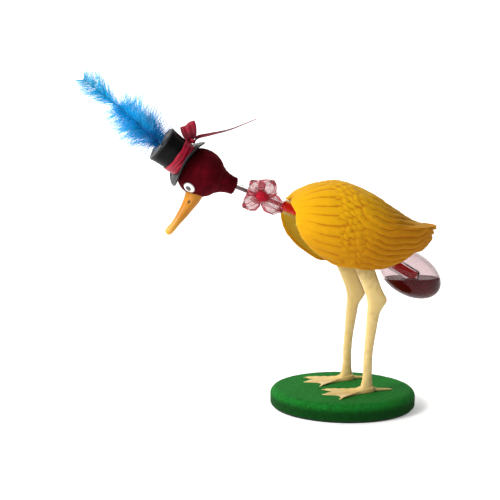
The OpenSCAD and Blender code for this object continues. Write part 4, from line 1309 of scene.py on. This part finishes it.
class BIRD_OT_hat(bpy.types.Operator):
    """Top hat with its satin band, bow loop and loose ribbon"""

    bl_idname = "bird.hat"
    bl_label = "Hat"
    bl_options = {"REGISTER", "UNDO"}

    pleats = ((0.34, 0.24), (0.68, 0.2))  # share of the band's height and depth

    def crown(self):
        """Flared crown, open below, with a rolled top edge."""
        low, h, t, edge, quill_r = hat_low(), mm("hat_h"), mm("hat_t"), 1.0, 0.62
        waist = 0.1
        levels = np.linspace(0.2, h - edge, 26)
        wall = [(crown_at(z) - waist * math.sin(math.pi * z / h), low + z) for z in levels]
        top, high = crown_at(h), low + h
        quarter = np.linspace(0.0, math.pi / 2, 9)
        out, up = top - edge, high - edge
        roll = [(out + (edge + 0.12) * math.cos(a), up + edge * math.sin(a)) for a in quarter]
        plate = [(top - edge - 0.35, high - 0.12), (top - edge - 0.8, high - 0.3)]
        plate += [(5, high - 0.32), (quill_r, high - 0.32)]
        under = [(quill_r, high - t - 0.3), (top - 2.2, high - t - 0.3)]
        lining = [(crown_at(z) - t, low + z) for z in np.linspace(h - 2, 0.0, 12)]
        profile = wall + roll + plate + under + lining
        rings = lathe(profile, 96)
        radius, height = np.array(profile).T
        # This marks the rolled top edge, where the hat's finish paints a highlight
        edge_mark = np.exp(-((height - (high - 0.35)) / 0.5) ** 2) * (radius > top - 1.4)
        rings = np.concatenate([rings, rings[:1]])
        marks = np.repeat(np.append(edge_mark, edge_mark[0]), 96)
        return Shape().add(*loft(rings, caps=False), edge=marks)

    def brim(self, shape):
        """Curled brim: its sides turn up, and its front and back turn down."""
        low, t, inner, outer = hat_low(), mm("hat_t"), mm("crown_low_d") / 2 - 0.2, mm("brim_d") / 2
        a = np.linspace(0, 2 * math.pi, 120, endpoint=False)
        steps, lip = 14, 1.03
        shares = np.concatenate([np.linspace(0, 1, steps), [lip], np.linspace(1, 0, steps)])
        lifts = np.concatenate([np.full(steps, t), [t / 2], np.full(steps, 0.0)])
        rings, marks = [], []
        for s, up in zip(shares, lifts):
            r = inner + (outer - inner) * s - 0.55 * s * (1 - np.abs(np.cos(a)))
            curl = -mm("brim_curl") * np.cos(2 * a) * min(s, 1) ** 1.6 - 0.35 * min(s, 1)
            rings.append(np.stack([r * np.cos(a), r * np.sin(a), low + up + curl], -1))
            # These marks set the painted highlight along the brim's outer edge
            marks.append(np.full(len(a), float(ramp(0.88, 1.0, s))))
        rings = np.array(rings + rings[:1])
        shape.add(*loft(rings, caps=False), edge=np.array(marks + marks[:1]).ravel())

    def band(self):
        """Ribbon round the crown, with two soft pleats and a slightly wavy edge."""
        low, t, h = hat_low(), mm("hat_t"), mm("band_h")
        a = np.linspace(0, 2 * math.pi, 160, endpoint=False)
        levels = np.linspace(0, 1, 22)
        rings, fold_shades = [], []
        for side, order in ((1, levels), (-1, levels[::-1])):
            for v in order:
                z = t + GAP + v * h
                pleat = 0.0
                for at, deep in self.pleats:
                    line = at + 0.05 * np.sin(2 * a + 4 * at) + 0.02 * np.sin(5 * a)
                    pleat = pleat + deep * np.exp(-(((v - line) / 0.055) ** 2))
                puff = 0.2 * math.sin(math.pi * v) + 0.06 * np.sin(9 * a + 3 * v)
                r = crown_at(z) + GAP + (0.36 + puff - pleat * 0.9 if side > 0 else 0.02)
                wave = 0.12 * np.sin(7 * a + 1) * (2 * v - 1)
                rings.append(np.stack([r * np.cos(a), r * np.sin(a), np.full_like(a, low + z) + wave], -1))
                # Painted shade: the pleats are marked for darkening in the satin
                fold_shades.append(np.broadcast_to(pleat * 3.0, a.shape))
        rings = np.array(rings + rings[:1])
        fold_shades = np.clip(np.array(fold_shades + fold_shades[:1]), 0, 1)
        return Shape().add(*loft(rings, caps=False), fold=fold_shades.ravel())

    def loop(self):
        """Bow loop of the same ribbon, standing up behind the crown."""
        side = [(-1.2, -0.5), (0.6, -1.1), (3.2, -1.9), (6.2, -2.2), (7.7, -1.1)]
        side = curve([*side, (8.0, 0.1), (7.5, 1.3), (5.5, 2.1), (2.6, 1.6), (0.2, 0.7)], 9)
        t = np.linspace(0, 1, len(side))
        rise = np.clip(side[:, 0] / 8, 0, 1)
        line = np.column_stack([1.4 + 2.2 * rise, side[:, 0], side[:, 1]])
        width = 2.8 + 4.6 * np.sin(rise * math.pi / 2) ** 0.4
        cells = np.linspace(-0.5, 0.5, 13)
        faces_out = []
        for offset in (0.1, -0.1):
            sheet = np.repeat(line[:, None], len(cells), 1)
            sheet[..., 0] += width[:, None] * cells
            crease = 0.32 * np.cos(cells * 14 + 1.5 * rise[:, None]) * (1 - 0.5 * rise[:, None])
            apart = offset * np.where(t < 0.5, -1, 1)[:, None]
            sheet[..., 2] += crease * np.sign(side[:, 1:] + 1e-6) + apart
            sheet[..., 1] += 0.25 * np.sin(cells * 9)
            faces_out.append(sheet)
        rings = np.concatenate([faces_out[0], faces_out[1][:, ::-1]], 1)
        lean = math.radians(24)
        across, up = rings[..., 0] - 1.4, rings[..., 1].copy()
        rings[..., 0] = 1.0 + across * math.cos(lean) + up * math.sin(lean)
        rings[..., 1] = up * math.cos(lean) - across * math.sin(lean)
        # Painted shade: darker low on the loop and on its second half
        fold = np.repeat((1 - rise) ** 1.5 * 0.6 + 0.4 * (t > 0.5), rings.shape[1])
        shape = Shape().add(*loft(rings), fold=np.clip(fold, 0, 1))
        knot = [(0.05, -2.1), (0.9, -2.0), (1.35, -1.2), (1.25, 0), (1.35, 1.2), (0.9, 2.0), (0.05, 2.1)]
        knot = lathe(knot, 24)
        knot[..., 0] *= 0.75
        knot[..., 0] += 0.15 * np.sin(knot[..., 2] * 4)
        knot = knot + (0.95, -0.6, 0)
        # Painted shade: a little on the knot
        shape.add(*loft(knot), fold=0.25)
        return shape

    def tail(self):
        """Loose end: narrows to a point and twists a little."""
        reach = mm("ribbon_reach")
        path = [(0.4, -1.9), (3.8, -1.75), (0.3 * reach, -6.0), (0.58 * reach, -0.45 * reach)]
        path = curve([*path, (reach, -0.72 * reach)], 16)
        t = np.linspace(0, 1, len(path))
        line = np.column_stack([path + (0.15, 0.2), 0.5 * np.sin(t * 5)])
        twist = 0.42 + 0.2 * np.sin(t * 4.5)
        across = np.column_stack([np.sin(twist) * 0.5, np.sin(twist), np.cos(twist)])
        rings = strip(line, across, 3.3 * (1 - t) ** 0.36 + 0.3, 0.42 - 0.1 * t)
        # Painted shade: the loose ribbon is darkened, more in waves along it
        return Shape().add(*loft(rings), fold=np.repeat(0.72 + 0.25 * np.sin(t * 11), rings.shape[1]))

    def execute(self, context):
        shape = self.crown()
        self.brim(shape)
        shape.build("Hat", at_hat(), [hat_plastic()], replaces=["hat"], slot="hat_plastic")
        satin = satin_ribbon()
        self.band().build("Hat.band", at_hat(), [satin], replaces=["hat_band"], slot="ribbon")
        self.loop().build("Hat.bow", at_tie(), [satin], replaces=["hat_bow"], slot="ribbon")
        self.tail().build("Hat.ribbon", at_tie(), [satin], replaces=["ribbon_tail"], slot="ribbon")
        return {"FINISHED"}


class BIRD_OT_feather(bpy.types.Operator):
    """Dyed feather: a quill with fluffy down at its root and a fan of straight barbs at its end"""

    bl_idname = "bird.feather"
    bl_label = "Feather"
    bl_options = {"REGISTER", "UNDO"}

    foot = -0.04  # the quill's start, as a share of the feather's length
    barbs = 4200
    tufts = 130
    down_end, wisps_end, waist_end = 0.64, 0.77, 0.86  # shares of the barbs, by kind
    down_top = 0.56  # the highest down, as a share of the feather's length

    def quill_line(self):
        """Middle line of the quill, from inside the crown to the feather's end."""
        tall = mm("feather_len")
        t = np.linspace(self.foot, 1, 60)
        return np.stack([0.9 * np.sin(t * 2.4) - 0.6 * t * t, 0.25 * np.sin(t * 4), t * tall], -1)

    def barb(self, root, out, up, reach, curl, luck, steps=8):
        """Middle line of one barb that leaves the quill along out and bends towards up."""
        t = np.linspace(0, 1, steps)[:, None]
        side = np.cross(out, up)
        wave = 0.05 * reach * np.sin(t * (5 + 4 * luck[0]) + luck[1] * 6) * t
        return root + reach * (out * t + up * curl * t**2) + side * wave + out * wave * 0.5

    def execute(self, context):
        pick = chance(11)
        tall = mm("feather_len")
        line = self.quill_line()
        shares = np.linspace(self.foot, 1, len(line))
        shape = Shape()
        points, faces, along, tips, lucks = [], [], [], [], []
        tufts = pick.random((self.tufts, 4))
        for i in range(self.barbs):
            share = i / self.barbs
            tuft = tufts[int(pick.integers(len(tufts)))]
            side = 1 if pick.random() < 0.5 else -1
            if share < self.down_end:  # down at the root
                s = min(max(0.01 + 0.5 * tuft[0] ** 1.15 + 0.02 * pick.normal(), 0.005), self.down_top)
                reach = 5.0 + 11.0 * math.sin(math.pi * min(s / self.down_top, 1) ** 0.5) ** 1.2
                reach = reach * (0.45 + 0.5 * tuft[3]) * (0.5 + 0.5 * pick.random())
                tip_up = 0.7 * tuft[1] + 0.14 * pick.normal()
                spread = 2.2 * (tuft[2] - 0.5) + 0.2 * pick.normal()
                side = 1 if tuft[3] * 7 % 1 < 0.5 else -1
                wide, curl = 0.09 + 0.09 * pick.random(), 0.1 + 0.3 * pick.random()
            elif share < self.wisps_end:  # a few long wisps
                s = 0.03 + 0.5 * pick.random()
                reach = 16.0 * (0.7 + 0.4 * pick.random()) * (1 - 0.9 * abs(s - 0.22))
                tip_up, spread = 0.35 + 0.4 * pick.normal(), 0.3 * pick.normal()
                wide, curl = 0.11 + 0.05 * pick.random(), 0.15 * pick.normal()
            elif share < self.waist_end:  # short barbs along the waist
                s = 0.4 + 0.34 * pick.random()
                reach = 5.4 * (0.6 + 0.6 * pick.random())
                tip_up, spread = 1.1 + 0.3 * pick.normal(), 0.6 * pick.normal()
                wide, curl = 0.08 + 0.05 * pick.random(), 0.2
            else:  # fan at the end
                s = 0.6 + 0.36 * pick.random() ** 0.8
                reach = 10.0 * (0.6 + 0.45 * pick.random()) * (1 - 0.5 * float(ramp(0.76, 0.96, s)))
                tip_up, spread = 0.5 + 0.25 * abs(pick.normal()), 0.3 * pick.normal()
                wide, curl = 0.07 + 0.05 * pick.random(), 0.28 * pick.random()
            root = np.array([np.interp(s, shares, line[:, k]) for k in range(3)])
            out = np.array((side * math.cos(spread), math.sin(spread), tip_up))
            out /= np.linalg.norm(out)
            path = self.barb(root, out, np.array((0, 0, 1.0)), reach, curl, pick.random(2))
            n = len(path)
            t = np.linspace(0, 1, n)
            face_to = pick.normal(size=3)
            tangent = np.gradient(path, axis=0)
            across = np.cross(tangent, face_to)
            across /= np.linalg.norm(across, axis=1)[:, None] + 1e-9
            half = (wide * (1 - 0.8 * t))[:, None]
            start = len(points) * 2 * n
            points.append(np.stack([path - across * half, path + across * half], 1).reshape(-1, 3))
            faces += [tuple(start + 2 * k + corner for corner in (0, 1, 3, 2)) for k in range(n - 1)]
            along.append(np.repeat(path[:, 2] / tall, 2))
            tips.append(np.repeat(t, 2))
            lucks.append(np.full(2 * n, pick.random()))
        along, tips, lucks = (np.concatenate(values) for values in (along, tips, lucks))
        shape.add(np.concatenate(points), faces, along=along, tip=tips, luck=lucks)
        down = [feather_down()]
        vane = ["feather_vane"]
        shape.build("Feather.barbs", at_feather(), down, replaces=vane, slot="feather", mend=False)
        radii = np.interp(np.linspace(0, 1, len(line)), [0, 0.5, 1], [0.55, 0.34, 0.08])
        rings = tube(line, radii, 12)
        quill = Shape().add(*loft(rings), along=np.repeat(np.linspace(0, 1, len(line)), 12))
        horn = [quill_horn()]
        quill.build("Feather.quill", at_feather(), horn, replaces=["feather_quill"], slot="feather")
        return {"FINISHED"}


class BIRD_OT_bow(bpy.types.Operator):
    """Netting bow round the neck with its fluffy knot"""

    bl_idname = "bird.bow"
    bl_label = "Neck bow"
    bl_options = {"REGISTER", "UNDO"}

    # direction in degrees, reach, width and where the pleats start
    petals = [(124, 9.8, 9.6, 0.3), (48, 10.4, 10.4, 1.7), (208, 11.2, 9.0, 3.1), (-36, 13.6, 9.8, 4.4)]
    knot_half = (0.8, 0.58, 0.64)  # where the knot's fibres start, in shares of its radius
    fibres = 900

    def execute(self, context):
        place = at_up() @ Matrix.Translation((-mm("bow_dist"), 0, 0))
        front = -(mm("tube_d") / 2 + GAP + 1.2)
        tube_slope = math.radians(deg("low_slope") - deg("bend"))
        shape, area = Shape(), 0.0
        v, u = np.meshgrid(np.linspace(0, 1, 34), np.linspace(-1, 1, 41), indexing="ij")
        for degrees, reach, width, phase in self.petals:
            way = math.radians(degrees) + tube_slope
            d = np.array((math.cos(way), 0, math.sin(way)))
            across = np.array((-math.sin(way), 0, math.cos(way)))
            round_off = 1 - 0.12 * u**2 * v
            leaf = np.sqrt(np.clip(1 - ((v - 0.55) / 0.46) ** 2, 0, 1))
            span = width / 2 * np.maximum(leaf, 0.22 * (1 - v))
            for layer in (0, 1):
                out = reach * v * round_off * (1 - 0.08 * layer)
                pleat = np.sin(u * (9 + layer) + phase) * (0.55 - 0.2 * v)
                pleat = pleat + 0.45 * np.sin(u * 17 + phase * 2 + 3 * v) * v
                edge = ramp(0.7, 1.0, np.maximum(np.abs(u), v))
                depth = 1.25 * np.sin(math.pi * np.clip(v * 1.05, 0, 1)) * (1 - 2 * layer) + 0.62 * pleat
                depth += 0.45 * edge * np.sin(np.arctan2(u, v + 0.2) * 11 + phase)
                aside = u * span * (1 + 0.04 * np.sin(v * 19 + phase))
                p = out[..., None] * d + aside[..., None] * across
                p[..., 1] = p[..., 1] - depth + (front - 0.5)
                gather = np.clip(1 - v * 2.6, 0, 1)
                hem = np.clip(ramp(0.82, 0.9, np.maximum(np.abs(u), v)) + 0.6 * ramp(0.25, 0.6, pleat), 0, 1)
                _, faces = loft(p, caps=False, closed=False)
                thread = {"across": (u * width / 2).ravel(), "along": (v * reach).ravel()}
                shape.add(p.reshape(-1, 3), faces, hem=hem.ravel(), gather=gather.ravel(), **thread)
                e1, e2 = p[1:, :-1] - p[:-1, :-1], p[:-1, 1:] - p[:-1, :-1]
                area += np.linalg.norm(np.cross(e1, e2), axis=-1).sum()
        r = mm("tube_d") / 2 + GAP + 0.25
        a = np.linspace(0, 2 * math.pi, 60)
        x = np.linspace(-2.2, 2.2, 16)
        xx, aa = np.meshgrid(x, a, indexing="ij")
        rr = r + 0.16 * np.sin(aa * 9 + xx * 2) + 0.12
        wrap = np.stack([xx, rr * np.cos(aa), rr * np.sin(aa)], -1)
        _, faces = loft(wrap, caps=False, closed=False)
        thread = {"across": xx.ravel(), "along": (aa * r).ravel()}
        shape.add(wrap.reshape(-1, 3), faces, hem=0.0, gather=0.55, **thread)
        area += (x[-1] - x[0]) * 2 * math.pi * r
        sheer = [sheer_netting()]
        net = shape.build("Bow.netting", place, sheer, replaces=["neck_bow"], slot="netting", mend=False)
        width = 0.012
        area * 1e-6 / width

        pick = chance(5)
        knot_at = place @ Matrix.Translation((0, front - 1.9, 0))
        ball = bmesh.new()
        bmesh.ops.create_icosphere(ball, subdivisions=4, radius=mm("knot_d") / 2 * 0.86)
        core = np.array([tuple(q.co) for q in ball.verts])
        faces = [tuple(q.index for q in f.verts) for f in ball.faces]
        ball.free()
        core = core * (1.0, 0.72, 0.8)
        core *= (1 + 0.09 * grain(core, 1.1, 4.0))[:, None]
        shape = Shape().add(core, faces)
        starts = np.array([mm("knot_d") / 2 * share for share in self.knot_half])
        for _ in range(self.fibres):
            way = pick.normal(size=3)
            way /= np.linalg.norm(way)
            root = way * starts
            end = root + (way + 0.5 * pick.normal(size=3)) * (0.5 + 0.5 * pick.random())
            turn_to = np.cross(end - root, pick.normal(size=3))
            turn_to *= 0.06 / (np.linalg.norm(turn_to) + 1e-9)
            shape.add([root - turn_to, root + turn_to, end], [(0, 1, 2)])
        fluff = [knot_fluff()]
        shape.build("Bow.knot", knot_at, fluff, replaces=["neck_bow_knot"], slot="bow_knot", mend=False)
        return {"FINISHED"}


class BIRD_PT_panel(bpy.types.Panel):
    """Lists the bird's pieces"""

    bl_label = "Drinking bird"
    bl_idname = "BIRD_PT_panel"
    bl_space_type = "VIEW_3D"
    bl_region_type = "UI"
    bl_category = "Bird"

    def draw(self, context):
        for operator in OPERATORS:
            self.layout.operator(operator.bl_idname)
        for group in (context.scene.bird_sizes, context.scene.bird_finishes):
            box = self.layout.box()
            for key in group.bl_rna.properties.keys():
                if key not in ("rna_type", "name"):
                    box.prop(group, key)


OPERATORS = (
    BIRD_OT_stage,
    BIRD_OT_base,
    BIRD_OT_legs,
    BIRD_OT_pivot,
    BIRD_OT_glass,
    BIRD_OT_body,
    BIRD_OT_head,
    BIRD_OT_hat,
    BIRD_OT_feather,
    BIRD_OT_bow,
)
CLASSES = (BirdSizes, BirdFinishes, *OPERATORS, BIRD_PT_panel)


def register():
    """Adds the classes, and the sizes and colours to the scene."""
    for cls in CLASSES:
        bpy.utils.register_class(cls)
    bpy.types.Scene.bird_sizes = PointerProperty(type=BirdSizes)
    bpy.types.Scene.bird_finishes = PointerProperty(type=BirdFinishes)


def unregister():
    """Takes the classes and the bird's settings away again."""
    del bpy.types.Scene.bird_sizes, bpy.types.Scene.bird_finishes
    for cls in reversed(CLASSES):
        bpy.utils.unregister_class(cls)


def main():
    """Builds the whole bird."""
    register()
    for operator in OPERATORS:
        group, name = operator.bl_idname.split(".")
        getattr(getattr(bpy.ops, group), name)()


if __name__ == "__main__":
    main()
